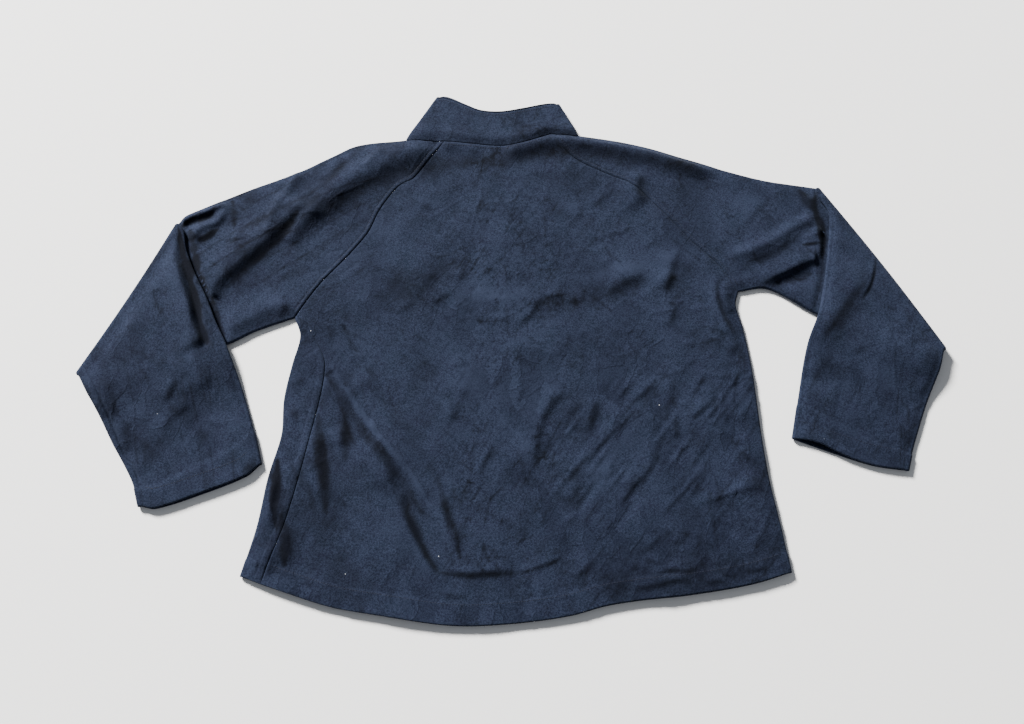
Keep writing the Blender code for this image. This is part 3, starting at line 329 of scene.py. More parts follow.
FOREARM_INNER = {
    "left": ((-473, 173), (-465, 160), (-457, 138), (-440, 98), (-419, 58), (-402, 20),
             (-388, -7), (-365, -62), (-339, -137), (-328, -176)),
    "right": ((437, 230), (447, 195), (445, 163), (434, 100), (419, 38), (401, -7),
              (387, -65), (370, -141)),
}
FOREARM_OUTER = {
    "left": ((-587, -52), (-557, -95), (-528, -146), (-496, -199), (-484, -233)),
    "right": ((589, -16), (572, -53), (554, -92), (529, -154), (519, -185)),
}
CUFF = {
    "left": ((-484, -233), (-464, -236), (-404, -217), (-345, -193), (-328, -178)),
    "right": ((519, -185), (474, -178), (422, -161), (370, -142)),
}
ELBOW_BOW = {"left": -3.0, "right": 3.0}
FOREARM_SEAM = ((-580, -30), (-567, -52), (-553, -75), (-530, -120), (-510, -160), (-490, -190),
                (-478, -226))

# %% [markdown]
# ## Curves and surfaces
# A seam is a smooth curve through a few points, and a panel is the surface between four
# such curves. The same small set of helpers serves every piece of cloth.

# %% Curves
def smoothstep(value, low, high):
    """0 below low, 1 above high, and a soft rise between."""
    t = np.clip((np.asarray(value, float) - low) / (high - low), 0.0, 1.0)
    return t * t * (3.0 - 2.0 * t)


def smooth_curve(table, per_span=16):
    """A smooth curve through a table of points."""
    rows = np.array(table, float)
    if len(rows) < 3:
        t = np.linspace(0.0, 1.0, per_span + 1)[:, None]
        return rows[0] * (1 - t) + rows[-1] * t
    rows = np.vstack([2 * rows[0] - rows[1], rows, 2 * rows[-1] - rows[-2]])
    curve = []
    for before, start, end, after in zip(rows, rows[1:], rows[2:], rows[3:]):
        span = np.linalg.norm(end - start)
        start_slope = (end - before) * span / (span + np.linalg.norm(start - before))
        end_slope = (after - start) * span / (span + np.linalg.norm(after - end))
        t = np.arange(per_span)[:, None] / per_span
        curve.append((2 * t**3 - 3 * t**2 + 1) * start + (t**3 - 2 * t**2 + t) * start_slope
                     + (3 * t**2 - 2 * t**3) * end + (t**3 - t**2) * end_slope)
    return np.vstack(curve + [rows[-2][None]])


def shares(curve):
    """How far along a curve each of its points is, from 0 to 1."""
    lengths = np.concatenate([[0.0], np.cumsum(np.linalg.norm(np.diff(curve, axis=0), axis=1))])
    return lengths / lengths[-1]


def along(curve, wanted):
    """Points of a curve at the given shares of its length."""
    done = shares(curve)
    return np.stack([np.interp(wanted, done, curve[:, k]) for k in range(curve.shape[1])], axis=1)


def drawn(table, wanted):
    """Points at the given shares of the smooth curve through a table."""
    return along(smooth_curve(table), wanted)


def steps(count):
    """Shares from 0 to 1 in even steps."""
    return np.linspace(0, 1, count + 1)


def near_to(curve, x, y, reach):
    """Where a curve's surroundings are, to spare work on the rest."""
    return ((x > curve[:, 0].min() - reach) & (x < curve[:, 0].max() + reach)
            & (y > curve[:, 1].min() - reach) & (y < curve[:, 1].max() + reach))


def graded(count, first=(), last=()):
    """Shares from 0 to 1 in count steps, with the given closer ones at either end."""
    low = [0.0] + list(first)
    high = [1.0 - share for share in reversed(last)] + [1.0]
    even = np.linspace(low[-1], high[0], count - len(first) - len(last) + 1)
    return np.array(low[:-1] + list(even) + high[1:])


def outward(curve, inside):
    """Unit vectors square to a curve that point away from a place inside it."""
    direction = np.gradient(curve, axis=0)
    direction /= np.linalg.norm(direction, axis=1)[:, None]
    normal = np.stack([direction[:, 1], -direction[:, 0]], axis=1)
    middle = len(curve) // 2
    if np.dot(normal[middle], np.array(inside) - curve[middle]) > 0:
        normal = -normal
    return normal


def inset(curve, inside, distance):
    """A curve moved inward by a distance."""
    return curve - outward(curve, inside) * distance


def fit_ends(curve, start, end):
    """A curve eased over so that it begins and ends at two places."""
    share = shares(curve)[:, None]
    return curve + (start - curve[0]) * (1 - share) + (end - curve[-1]) * share


def fill(bottom, top, left, right):
    """Rows of points between four edge curves: a panel seen from above."""
    u = ((shares(bottom) + shares(top)) / 2)[None, :, None]
    v = ((shares(left) + shares(right)) / 2)[:, None, None]
    ruled = (1 - v) * bottom[None] + v * top[None] + (1 - u) * left[:, None] + u * right[:, None]
    corners = ((1 - u) * (1 - v) * bottom[0] + u * (1 - v) * bottom[-1]
               + (1 - u) * v * top[0] + u * v * top[-1])
    return ruled - corners


def distance_to(curve, x, y):
    """Distance from places to a curve, the share along it, and the side (left is 1)."""
    best = np.full(np.shape(x), 1e9)
    share = np.zeros(np.shape(x))
    side = np.ones(np.shape(x))
    done = shares(curve)
    for i, (start, end) in enumerate(zip(curve, curve[1:])):
        run = end - start
        square = max(float(run @ run), 1e-12)
        t = np.clip(((x - start[0]) * run[0] + (y - start[1]) * run[1]) / square, 0.0, 1.0)
        dx = x - start[0] - t * run[0]
        dy = y - start[1] - t * run[1]
        gap = np.hypot(dx, dy)
        nearer = gap < best
        best = np.where(nearer, gap, best)
        share = np.where(nearer, done[i] + t * (done[i + 1] - done[i]), share)
        side = np.where(nearer, np.where(run[0] * dy - run[1] * dx < 0, -1.0, 1.0), side)
    return best, share, side


# %% [markdown]
# ## Folds
# A fold in laid cloth is a crest with an easy slope on one side and a steep one on the
# other, and a crease is a narrow trough. Each is drawn as a short path with a rise in
# millimetres and a width to its left and to its right. Between them the cloth is never
# quite even: soft lumps and a web of short straight creases are added.
#
# One lamp and this relief don't give all the light and dark that laid fleece has. So the
# same folds also say how dark the steep side is painted and how light its foot is, and
# more bands and soft patches of shade are drawn after them.

# %% Relief helpers
Fold = namedtuple("Fold", "rise left right path fade crest_at shade")
RANDOM_CELLS = 64
STEEPEST = 0.858         # the steepest place of a bell-shaped rise of height and width one
STEEPEST_AT = 0.7        # and how far from the crest it lies
TOWARD_HEM = (0.6, -0.8)
SOFTNESS = 0.68          # how much of a fall's height is shaped
PAINTED = 0.85           # and how strongly its steep side is painted dark
FULL_LENGTH = 90.0       # shorter folds than about half of this are drawn shallower


def pairs(numbers):
    """The points of a path that is written as x, y, x, y."""
    return tuple(zip(numbers[::2], numbers[1::2]))


def crests(rows):
    """Folds drawn along their crests: rise, widths at the left and right, fades, path."""
    return [Fold(rise, left, right, pairs(path), (first, last), 0.0, 0.0)
            for rise, left, right, first, last, *path in rows]


def falls(rows, gentle, turned=1.0):
    """Folds drawn along their steep sides, which look toward the hem and to the right.

    Each row is the steepness and the width of that side and its path. With turned at -1
    the steep sides look the other way."""
    folds = []
    for steepness, width, *numbers in rows:
        path = pairs(numbers)
        run = (path[-1][0] - path[0][0], path[-1][1] - path[0][1])
        if (-run[0] * TOWARD_HEM[1] + run[1] * TOWARD_HEM[0]) * turned < 0:
            path = path[::-1]
        length = sum(math.dist(a, b) for a, b in zip(path, path[1:]))
        fade = max(4.0 + 1.2 * width, 0.3 * length)
        steepness *= min(1.0, 0.45 + length / FULL_LENGTH)
        # its steep side is painted dark, more the steeper it is, and painted light where turned is -1
        folds.append(Fold(SOFTNESS * steepness * width / STEEPEST, gentle * width, width, path,
                          (fade, fade), STEEPEST_AT * width, -PAINTED * steepness * turned))
    return folds


def creases(rows):
    """Narrow troughs: depth, width and path."""
    # each crease is also painted a little darker, more the deeper it is
    return [Fold(-depth, width, width, pairs(path), (9.0, 9.0), 0.0, -0.12 * depth)
            for depth, width, *path in rows]


def fold_relief(folds, x, y, painted=False):
    """How far a list of folds lifts the cloth at some places, or its painted shade there."""
    total = np.zeros(np.shape(x))
    for fold in folds:
        curve = smooth_curve(fold.path, 6)
        reach = 2.4 * max(fold.left, fold.right) + fold.crest_at
        near = near_to(curve, x, y, reach)
        if not near.any():
            continue
        gap, share, side = distance_to(curve, x[near], y[near])
        beyond = gap * side - fold.crest_at
        width = np.where(beyond > 0, fold.left, fold.right)
        length = np.hypot(*np.diff(curve, axis=0).T).sum()
        fade = np.ones(len(share))
        for way, reach in ((share, fold.fade[0]), (1 - share, fold.fade[1])):
            fade *= smoothstep(way * length, 0.0, min(reach, 0.5 * length))
        if painted:
            lit = np.exp(-((beyond - 0.8 * fold.right) / fold.right)**2)
            shape = fold.shade * (np.exp(-(gap / fold.right)**2) - 0.45 * lit)
        else:
            shape = fold.rise * np.exp(-(beyond / width)**2)
        total[near] += shape * fade
    return total


def bands(rows, x, y):
    """Painted bands that narrow toward their ends: strength, half width and path."""
    total = np.zeros(np.shape(x))
    for strength, half, *numbers in rows:
        curve = smooth_curve(pairs(numbers), 6)
        near = near_to(curve, x, y, half + 4.0)
        if near.any():
            gap, share, _ = distance_to(curve, x[near], y[near])
            wide = half * (0.45 + 0.55 * smoothstep(np.minimum(share, 1 - share), 0.0, 0.3))
            band = strength * (1 - smoothstep(gap, 0.3 * wide, 1.5 * wide))
            total[near] = np.where(np.abs(band) > np.abs(total[near]), band, total[near])
    return total


def lumps(x, y, size, seed):
    """Soft unevenness between -1 and 1 that is the same on every run."""
    values = np.random.default_rng(seed).uniform(-1, 1, (RANDOM_CELLS, RANDOM_CELLS))
    u = x / size + 31.7
    v = y / size + 17.3
    i = np.floor(u).astype(int)
    j = np.floor(v).astype(int)
    s = smoothstep(u - i, 0, 1)
    t = smoothstep(v - j, 0, 1)
    near = values[i % RANDOM_CELLS, j % RANDOM_CELLS] * (1 - s)
    near = near + values[(i + 1) % RANDOM_CELLS, j % RANDOM_CELLS] * s
    far = values[i % RANDOM_CELLS, (j + 1) % RANDOM_CELLS] * (1 - s)
    far = far + values[(i + 1) % RANDOM_CELLS, (j + 1) % RANDOM_CELLS] * s
    return near * (1 - t) + far * t


def crumple(x, y, spacing, width, seed):
    """A web of straight creases, 1 on a crease and 0 away from it."""
    jitter = np.random.default_rng(seed).uniform(0.05, 0.95, (RANDOM_CELLS, RANDOM_CELLS, 2))
    i = np.floor(x / spacing).astype(int)
    j = np.floor(y / spacing).astype(int)
    first = np.full(np.shape(x), 1e9)
    second = np.full(np.shape(x), 1e9)
    for di in (-1, 0, 1):
        for dj in (-1, 0, 1):
            centre = jitter[(i + di) % RANDOM_CELLS, (j + dj) % RANDOM_CELLS]
            gap = np.hypot((i + di + centre[..., 0]) * spacing - x,
                           (j + dj + centre[..., 1]) * spacing - y)
            second = np.minimum(second, np.maximum(first, gap))
            first = np.minimum(first, gap)
    return np.exp(-((second - first) / width)**2)


def streaks(x, y, angle, length, width, seed):
    """Long narrow lumps that run at an angle to the X axis."""
    turn = math.radians(angle)
    u = (x * math.cos(turn) + y * math.sin(turn)) / length
    v = (y * math.cos(turn) - x * math.sin(turn)) / width
    return 1 - 2 * np.abs(lumps(u, v, 1.0, seed))


# %% Folds of the back, the side wrap and the upper arms
BODY_CRESTS = (
    (2.6, 7, 8, 30, 30, -246, -38, -222, -74, -196, -112, -160, -158, -132, -192, -106, -232),
    # the viewer's left arm and shoulder
    (7.5, 34, 13, 6, 24, -418, 60, -411, 80, -398, 97, -380, 115, -360, 134, -340, 155, -322, 178,
     -306, 200, -298, 218),
    (2.5, 6, 8, 12, 12, -345, 150, -341, 172, -335, 200, -323, 220, -311, 242, -300, 256),
    (3, 7, 6, 8, 10, -446, 146, -442, 160, -430, 167, -416, 174, -408, 188, -404, 206),
    (4.5, 5, 5, 4, 18, -470, 168, -457, 180, -440, 187, -420, 197, -400, 207),
    (3, 20, 10, 12, 20, -392, 14, -360, 30, -330, 46, -300, 60),
    (9.5, 24, 21, 80, 40, -312, 150, -292, 180, -272, 203, -250, 226, -228, 243, -205, 258,
     -180, 272, -155, 282, -125, 290, -104, 298),
    (4, 8, 12, 14, 20, -316, 140, -302, 163, -288, 184, -270, 205),
    (3.5, 8, 11, 16, 24, -112, 294, -98, 298, -80, 299, -60, 294, -36, 290),
    (2, 6, 8, 10, 10, -215, 258, -200, 275, -184, 296),
    # the viewer's right shoulder and arm
    (7.5, 8, 14, 20, 40, -15, 284, 20, 297, 60, 306, 100, 303, 150, 294, 200, 281, 250, 264, 300, 250),
    (3.5, 9, 8, 20, 8, 300, 120, 340, 133, 370, 150, 400, 170, 425, 180),
    (2, 6, 6, 5, 4, 408, 146, 420, 153, 436, 164),
    (5.5, 18, 6, 25, 6, 335, 84, 352, 87, 372, 96, 392, 106, 412, 115, 426, 116),
    (2.5, 8, 6, 8, 10, 294, 84, 292, 66, 294, 50, 301, 34),
    # the viewer's left side and hem
    (-3, 2.5, 12, 5, 5, -286, 12, -275, -4, -264, -18),
    (-2.5, 2.2, 7, 8, 20, -245, -44, -228, -64, -212, -84, -200, -100, -188, -116, -182, -128),
    (-3, 3, 7, 14, 14, -137, -216, -135, -232, -125, -256, -113, -280, -103, -298, -93, -312,
     -83, -322),
)
BODY_FALLS = (
    # left arm and shoulder
    (.6, 7, -447, 140, -430, 150, -412, 163), (.25, 11, -395, 205, -392, 185, -390, 168),
    (.25, 6, -395, 142, -382, 146, -370, 150), (.5, 6, -322, 28, -312, 40, -304, 53),
    (.3, 6, -240, 282, -250, 262, -262, 248, -285, 232), (.22, 5, -225, 290, -222, 270),
    (.3, 5, -292, 232, -280, 215), (.45, 5, -150, 308, -135, 308),
    (.5, 7, -125, 301, -113, 306, -104, 312), (.25, 8, -155, 222, -138, 230),
    (.25, 8, -128, 191, -112, 206), (.25, 6, -165, 191, -150, 200),
    # right shoulder and arm
    (.12, 14, 0, 246, 60, 250, 110, 247), (.5, 8, 188, 258, 184, 240, 182, 225, 190, 212, 196, 205),
    (.3, 5, 108, 196, 130, 212, 150, 228), (.25, 5, 97, 208, 97, 180), (.25, 5, 3, 212, 3, 198),
    (.3, 6, 8, 176, 12, 168), (.3, 3, 132, 152, 142, 157, 156, 159, 162, 163, 174, 168),
    (.7, 4.5, 298, 88, 287, 84, 283, 70, 285, 50, 291, 30, 300, 12, 312, -2),
    (.3, 6, 303, 70, 303, 60), (.45, 6.5, 235, 135, 225, 105, 218, 85, 208, 65),
    (.25, 6, 225, 60, 222, 40, 216, 10), (.25, 6, 262, 52, 265, 38),
    (.45, 7, 320, 95, 330, 112, 345, 118, 370, 130, 390, 145, 405, 155, 412, 160),
    (.7, 3, 405, 138, 420, 140, 432, 142), (.5, 4, 318, 92, 318, 80, 325, 76),
    (.8, 5, 430, 108, 432, 125, 434, 142, 434, 160, 436, 182),
    (.6, 6, 431, 222, 428, 200, 430, 180, 435, 170), (.25, 5, 322, 157, 345, 190, 365, 215),
    (.25, 5, 395, 213, 410, 225),
    # left side of the body
    (.3, 6, -284, -50, -281, -70), (.3, 6, -291, -95, -286, -118),
    (.3, 7, -222, -92, -221, -128, -220, -160), (.15, 22, -150, 62, -120, 76, -92, 92),
    (.35, 6, -114, 48, -100, 56, -80, 66), (.3, 8, -122, 84, -98, 95), (.3, 4, -150, 78, -132, 56),
    (.3, 4, -160, 32, -132, 56), (.5, 6.5, -64, 108, -71, 81), (.3, 3.5, -82, 18, -72, 24, -60, 28),
    (.3, 3.5, -94, 40, -82, 26), (.25, 3, -247, 14, -247, -10), (.3, 5, -84, -33, -72, -41, -60, -30),
    (.15, 14, -200, -42, -180, -70), (.25, 4, -174, -66, -188, -78), (.2, 4, -162, 16, -157, 8),
    (.2, 5, -182, 38, -178, 30), (.3, 5, -84, -84, -78, -104, -76, -122),
    (.3, 4, -68, -86, -75, -115), (.25, 4, -52, -74, -70, -86),
    (.75, 5, -308, -184, -306, -200, -308, -220, -310, -246, -306, -260, -303, -276),
    (.4, 5, -300, -224, -292, -250),
    (.5, 6, -300, -280, -302, -292, -305, -300, -306, -316, -316, -326),
    (.3, 11, -288, -255, -284, -285, -283, -315), (.3, 3, -310, -290, -320, -308, -328, -318),
    (.35, 8, -254, -120, -252, -150, -250, -176, -244, -204, -241, -232),
    (.3, 8, -223, -120, -220, -140, -219, -156), (.25, 3, -210, -176, -202, -188),
    (.35, 9, -182, -132, -170, -156, -160, -176, -154, -200, -152, -216),
    (.6, 5, -142, -214, -140, -232, -130, -256, -118, -280, -108, -298, -98, -312, -88, -320, -82, -332),
    (.4, 7, -90, -216, -87, -232, -82, -248, -76, -260, -68, -270, -64, -296),
    (.4, 5, -88, -320, -50, -322, -30, -320, 6, -318), (.3, 3, -92, -346, -72, -348, -54, -350),
    (.4, 3.5, 6, -318, 24, -316, 40, -310, 58, -302, 70, -294),
    # middle of the body
    (.4, 6, 8, 8, 16, 24, 26, 32, 36, 50, 48, 66), (.3, 5, -8, 40, -5, 24), (.6, 6, 66, 70, 63, 56),
    (.4, 4, 88, 64, 87, 50), (.4, 4, 99, 76, 97, 50), (.25, 3, 90, 42, 94, 30),
    (.4, 10, 126, 60, 140, 70, 150, 76, 170, 86, 190, 96), (.35, 7, 228, 98, 218, 78, 206, 68),
    (.3, 6, 224, 46, 218, 24), (.2, 7, 127, 144, 132, 132, 138, 120, 144, 110),
    (.25, 5, 178, 132, 208, 146), (.3, 4, 64, 124, 58, 106), (.25, 3, 40, 138, 60, 142),
    (.25, 3, 38, 154, 70, 156), (.25, 3, 26, 110, 36, 122), (.3, 6, -40, 90, -30, 100, -20, 112),
    (.25, 4, -1, 88, -6, 112), (.25, 3, -52, 28, -40, 24), (.25, 3, -36, -6, -46, -12),
    (.25, 3, -16, -26, -22, -36), (.5, 4, 77, -4, 74, -14), (.3, 4, 66, -8, 68, -30),
    (.3, 4, 71, 23, 69, 13), (.25, 3, 88, 3, 102, 9), (.25, 4, 162, 16, 158, 0),
    (.2, 4, 114, 20, 118, 10), (.2, 4, 46, -16, 42, -26), (.25, 4, 147, -22, 145, -30),
    (.25, 4, 117, -42, 115, -50), (.25, 4, 166, -52, 180, -48), (.25, 4, 82, -36, 78, -46),
    # below the middle
    (.45, 7, 82, -64, 73, -66, 68, -80, 54, -94, 46, -108, 39, -126, 36, -138, 34, -154, 30, -180,
     24, -202), (.4, 6.5, 116, -84, 112, -100, 106, -120, 102, -138), (.35, 5, 116, -78, 132, -68),
    (.25, 4, 87, -90, 85, -108), (.25, 4, 50, -136, 48, -158), (.25, 4, 42, -182, 58, -176, 68, -170),
    (.25, 4, 64, -186, 64, -198),
    (.3, 3.5, 38, -238, 58, -216, 74, -198, 88, -180, 100, -168, 120, -148, 140, -128, 160, -108,
     180, -90, 198, -62),
    (.35, 5, 162, -96, 178, -80, 196, -62), (.25, 4, 142, -92, 154, -74, 170, -60),
    (.25, 4, 160, -114, 180, -100), (.3, 5, 216, -80, 210, -96, 200, -104),
    (.35, 6, 202, -124, 200, -138, 190, -164, 184, -178, 170, -202, 156, -226),
    (.4, 6, 166, -186, 156, -206, 148, -222, 140, -238), (.3, 6, 90, -200, 84, -216, 82, -230),
    (.15, 12, 96, -180, 92, -196), (.25, 4, -22, -152, -32, -168, -40, -184, -46, -196),
    (.25, 4, -5, -154, -11, -170), (.35, 4, 18, -68, 13, -82, 6, -94), (.25, 4, -38, -126, -34, -136),
    (.2, 4, -20, -126, -2, -126), (.3, 8, 18, -256, 4, -270), (.25, 3, 6, -282, 24, -266),
    (.3, 4, 36, -258, 46, -250), (.3, 4, 68, -258, 88, -242), (.3, 5, 70, -262, 66, -285),
    (.4, 5, 110, -300, 100, -308, 88, -320, 78, -330), (.1, 14, 130, -300, 176, -290, 215, -282),
    # lower right
    (.4, 4, 168, -296, 180, -284, 194, -270), (.3, 4, 192, -265, 205, -270, 218, -275),
    (.45, 4, 203, -284, 212, -279, 222, -283), (.35, 4, 218, -280, 224, -262),
    (.25, 8, 222, -130, 214, -142), (.35, 7, 268, -80, 271, -96, 275, -114),
    (.25, 12, 272, -110, 290, -108), (.3, 5, 297, -84, 292, -96), (.35, 5, 301, -100, 297, -120),
    (.35, 5, 309, -100, 310, -121), (.45, 4, 232, -119, 245, -110, 258, -99, 268, -94),
    (.3, 4, 228, -104, 236, -90), (.3, 4, 216, -104, 217, -128, 219, -146),
    (.2, 10, 228, -142, 246, -134), (.3, 3.5, 213, -163, 224, -158, 238, -150),
    (.25, 3.5, 226, -190, 244, -168, 262, -142, 268, -132),
    (.4, 3, 190, -250, 208, -230, 225, -212, 238, -198, 250, -190, 258, -186),
    (.3, 3.5, 262, -184, 265, -200, 268, -216, 268, -232), (.3, 3, 252, -214, 257, -230),
    (.35, 3.5, 256, -238, 259, -256, 261, -276, 262, -292), (.3, 3.5, 273, -262, 267, -282),
    (.2, 4, 281, -228, 285, -243), (.3, 3.5, 237, -202, 238, -222),
    (.3, 3, 293, -153, 305, -165, 315, -172, 323, -179), (.3, 3, 294, -164, 303, -184),
    (.2, 5, 305, -133, 314, -152), (.3, 16, 308, -184, 318, -204, 322, -220),
    (.2, 4, 322, -253, 331, -270), (.15, 4, 322, -245, 308, -270), (.4, 3.5, 240, -300, 245, -320),
    (.2, 9, 250, -309, 290, -311), (.45, 3.5, 178, -324, 200, -316, 220, -318, 242, -312),
    (.45, 4, 146, -341, 180, -336, 200, -331, 228, -330), (.45, 3.5, 244, -333, 258, -330, 274, -334),
    (.4, 3.5, 262, -321, 285, -324), (.4, 3, 288, -325, 290, -308),
    (.5, 3.5, 292, -316, 310, -316, 327, -310), (.45, 3.5, 165, -299, 176, -305, 192, -307),
    (.45, 3.5, 150, -321, 162, -305),
    # right side, below the armpit
    (.25, 3, 265, 18, 280, 10, 293, 3), (.5, 3, 262, 0, 272, -4, 287, -5),
    (.4, 8, 288, -23, 300, -18, 314, -14), (.25, 4, 268, -8, 292, -13), (.35, 3.5, 262, -22, 274, -29),
    (.35, 7, 248, -4, 244, -16), (.2, 7, 243, -24, 247, -40), (.2, 5, 243, 20, 238, 6),
    (.2, 4, 200, -57, 222, -49, 245, -41), (.3, 3.5, 262, -50, 252, -66, 246, -76, 238, -88),
    (.45, 4, 256, -60, 251, -67), (.3, 6, 221, -60, 214, -74, 208, -90),
    (.3, 6, 270, -64, 271, -78, 273, -92), (.25, 8, 289, -48, 287, -62),
    (.4, 3.5, 306, -46, 301, -62, 298, -80, 296, -92), (.3, 4.5, 314, -44, 312, -58, 308, -72),
    (.2, 5, 297, -30, 290, -46), (.2, 3, 200, -25, 216, -26),
)
BODY_RISES = (
    (.12, 10, -70, 62, -40, 70, -10, 64, 10, 72, 40, 82, 70, 88, 100, 90, 130, 94, 156, 104, 170, 108),
    (.18, 7, 170, 60, 184, 70, 198, 82, 210, 96, 218, 110), (.15, 6, 26, 94, 44, 114),
    (.12, 4, -16, 86, -10, 92), (.15, 4, 42, 10, 58, 26), (.12, 4, 24, -8, 14, -20),
    (.15, 3, 71, 8, 73, -6), (.12, 4, 88, 8, 102, 14), (.12, 5, 108, -28, 98, -42),
    (.12, 5, 108, -138, 130, -118, 140, -104), (.14, 5, 50, -262, 66, -254, 80, -246, 96, -236),
    (.12, 8, -202, 70, -184, 74, -170, 88), (.12, 7, -222, 58, -188, 60),
    (.15, 5, -253, -34, -255, -50), (.12, 5, -248, -46, -252, -66, -255, -86),
    (.15, 7, 230, -190, 245, -181, 258, -172), (.12, 9, 262, -120, 256, -140),
    (.12, 4, 296, -160, 303, -175), (.15, 4, 178, -301, 195, -303), (.15, 4, 212, -288, 235, -285),
    (.12, 3, 228, -281, 245, -277), (.2, 6, 226, -334, 240, -327), (.14, 3, 190, -325, 245, -320),
    (.12, 4, -235, 262, -228, 275), (.18, 4, -128, 312, -138, 295), (.14, 4, -150, 288, -105, 300),
    (.14, 4, 200, -54, 220, -47, 244, -38), (.15, 6, 305, 5, 318, -10), (.12, 6, -135, 226, -125, 240),
    (.12, 8, 372, 68, 392, 60, 410, 50), (.2, 6, -296, -172, -295, -216),
    (.12, 5, -172, -140, -160, -158, -144, -176, -132, -192, -120, -210, -112, -226, -106, -244),
    (.15, 5, 160, -176, 150, -192, 142, -208),
)
BODY_CREASES = (
    (2.5, 3, -232, 22, -222, 4, -214, -12, -204, -24), (2.5, 9, 362, 80, 388, 86, 408, 93, 422, 97),
    (1.5, 5, -466, 158, -455, 170, -440, 176, -426, 182, -418, 192),
)
BODY_FOLDS = (crests(BODY_CRESTS) + falls(BODY_FALLS, 3.0) + falls(BODY_RISES, 3.0, -1.0)
              + creases(BODY_CREASES))

# %% Folds of the forearms
FOREARM_FOLDS = {
    "left": crests((
        (6, 24, 5, 14, 6, -417, -18, -426, 0, -436, 20, -441, 40, -448, 60, -456, 80, -463, 100,
         -471, 120, -474, 140, -476, 158),
        (3, 34, 34, 60, 60, -528, 62, -480, -40, -424, -160),
    )) + falls((
        (.7, 5, -552, -92, -549, -106), (.25, 10, -542, -55, -533, -88, -522, -112),
        (.35, 8, -514, -112, -508, -134, -502, -162), (.2, 10, -482, -156, -475, -192),
        (.6, 5, -447, -60, -453, -78, -457, -94), (.35, 7, -456, -94, -446, -104, -439, -114),
        (.2, 6, -457, -108, -451, -132), (.18, 14, -412, -46, -398, -72), (.2, 5, -429, -82, -421, -99),
        (.3, 3, -410, -192, -403, -180), (.3, 5, -453, -203, -449, -220),
        (.15, 4, -434, -198, -432, -216), (.15, 14, -480, -46, -458, -38),
        (.3, 3.5, -497, 78, -488, 55, -478, 35, -468, 20), (.25, 8, -492, 92, -480, 58),
        (.3, 6, -522, 6, -504, 12),
    ), 2.5) + falls((
        (.2, 7, -436, -18, -429, -40, -424, -66), (.12, 5, -452, -130, -440, -118),
        (.15, 9, -485, 118, -465, 90, -450, 50, -440, 15, -432, -20, -425, -60),
    ), 2.5, -1.0) + creases((
        (6, 5, -409, -16, -417, 0, -425, 20, -430, 40, -436, 60, -443, 80, -449, 100, -457, 120,
         -462, 140, -466, 158),
    )),
    "right": crests((
        (3, 30, 30, 60, 60, 540, 20, 500, -60, 462, -140),
    )) + falls((
        (.30, 18, 408, -14, 425, 2, 440, 18, 455, 40, 468, 58, 484, 78, 497, 98, 504, 114),
        (.4, 3, 505, 121, 503, 105, 500, 92, 494, 75, 487, 63, 478, 52), (.2, 12, 452, 124, 470, 142),
        (.3, 6, 458, -28, 480, -12), (.15, 16, 402, -62, 420, -46, 440, -26),
        (.15, 13, 386, -108, 402, -96, 428, -84), (.18, 8, 446, -64, 434, -80, 427, -100, 420, -126),
        (.15, 9, 418, -124, 424, -140, 431, -156), (.3, 4, 540, 44, 537, 30, 546, 21),
        (.15, 8, 493, -8, 512, -18), (.12, 10, 476, 8, 502, 16), (.2, 10, 568, -14, 562, -38, 556, -62),
        (.12, 8, 540, 0, 545, -12), (.12, 8, 498, -158, 522, -158), (.15, 6, 516, -132, 512, -150),
        (.12, 8, 530, -75, 545, -88),
    ), 2.5) + falls(((.12, 4, 546, -12, 580, -12),), 2.5, -1.0) + creases((
        (1.4, 2.4, 505, 121, 503, 105, 500, 92, 494, 75, 487, 63, 478, 52),
    )),
}
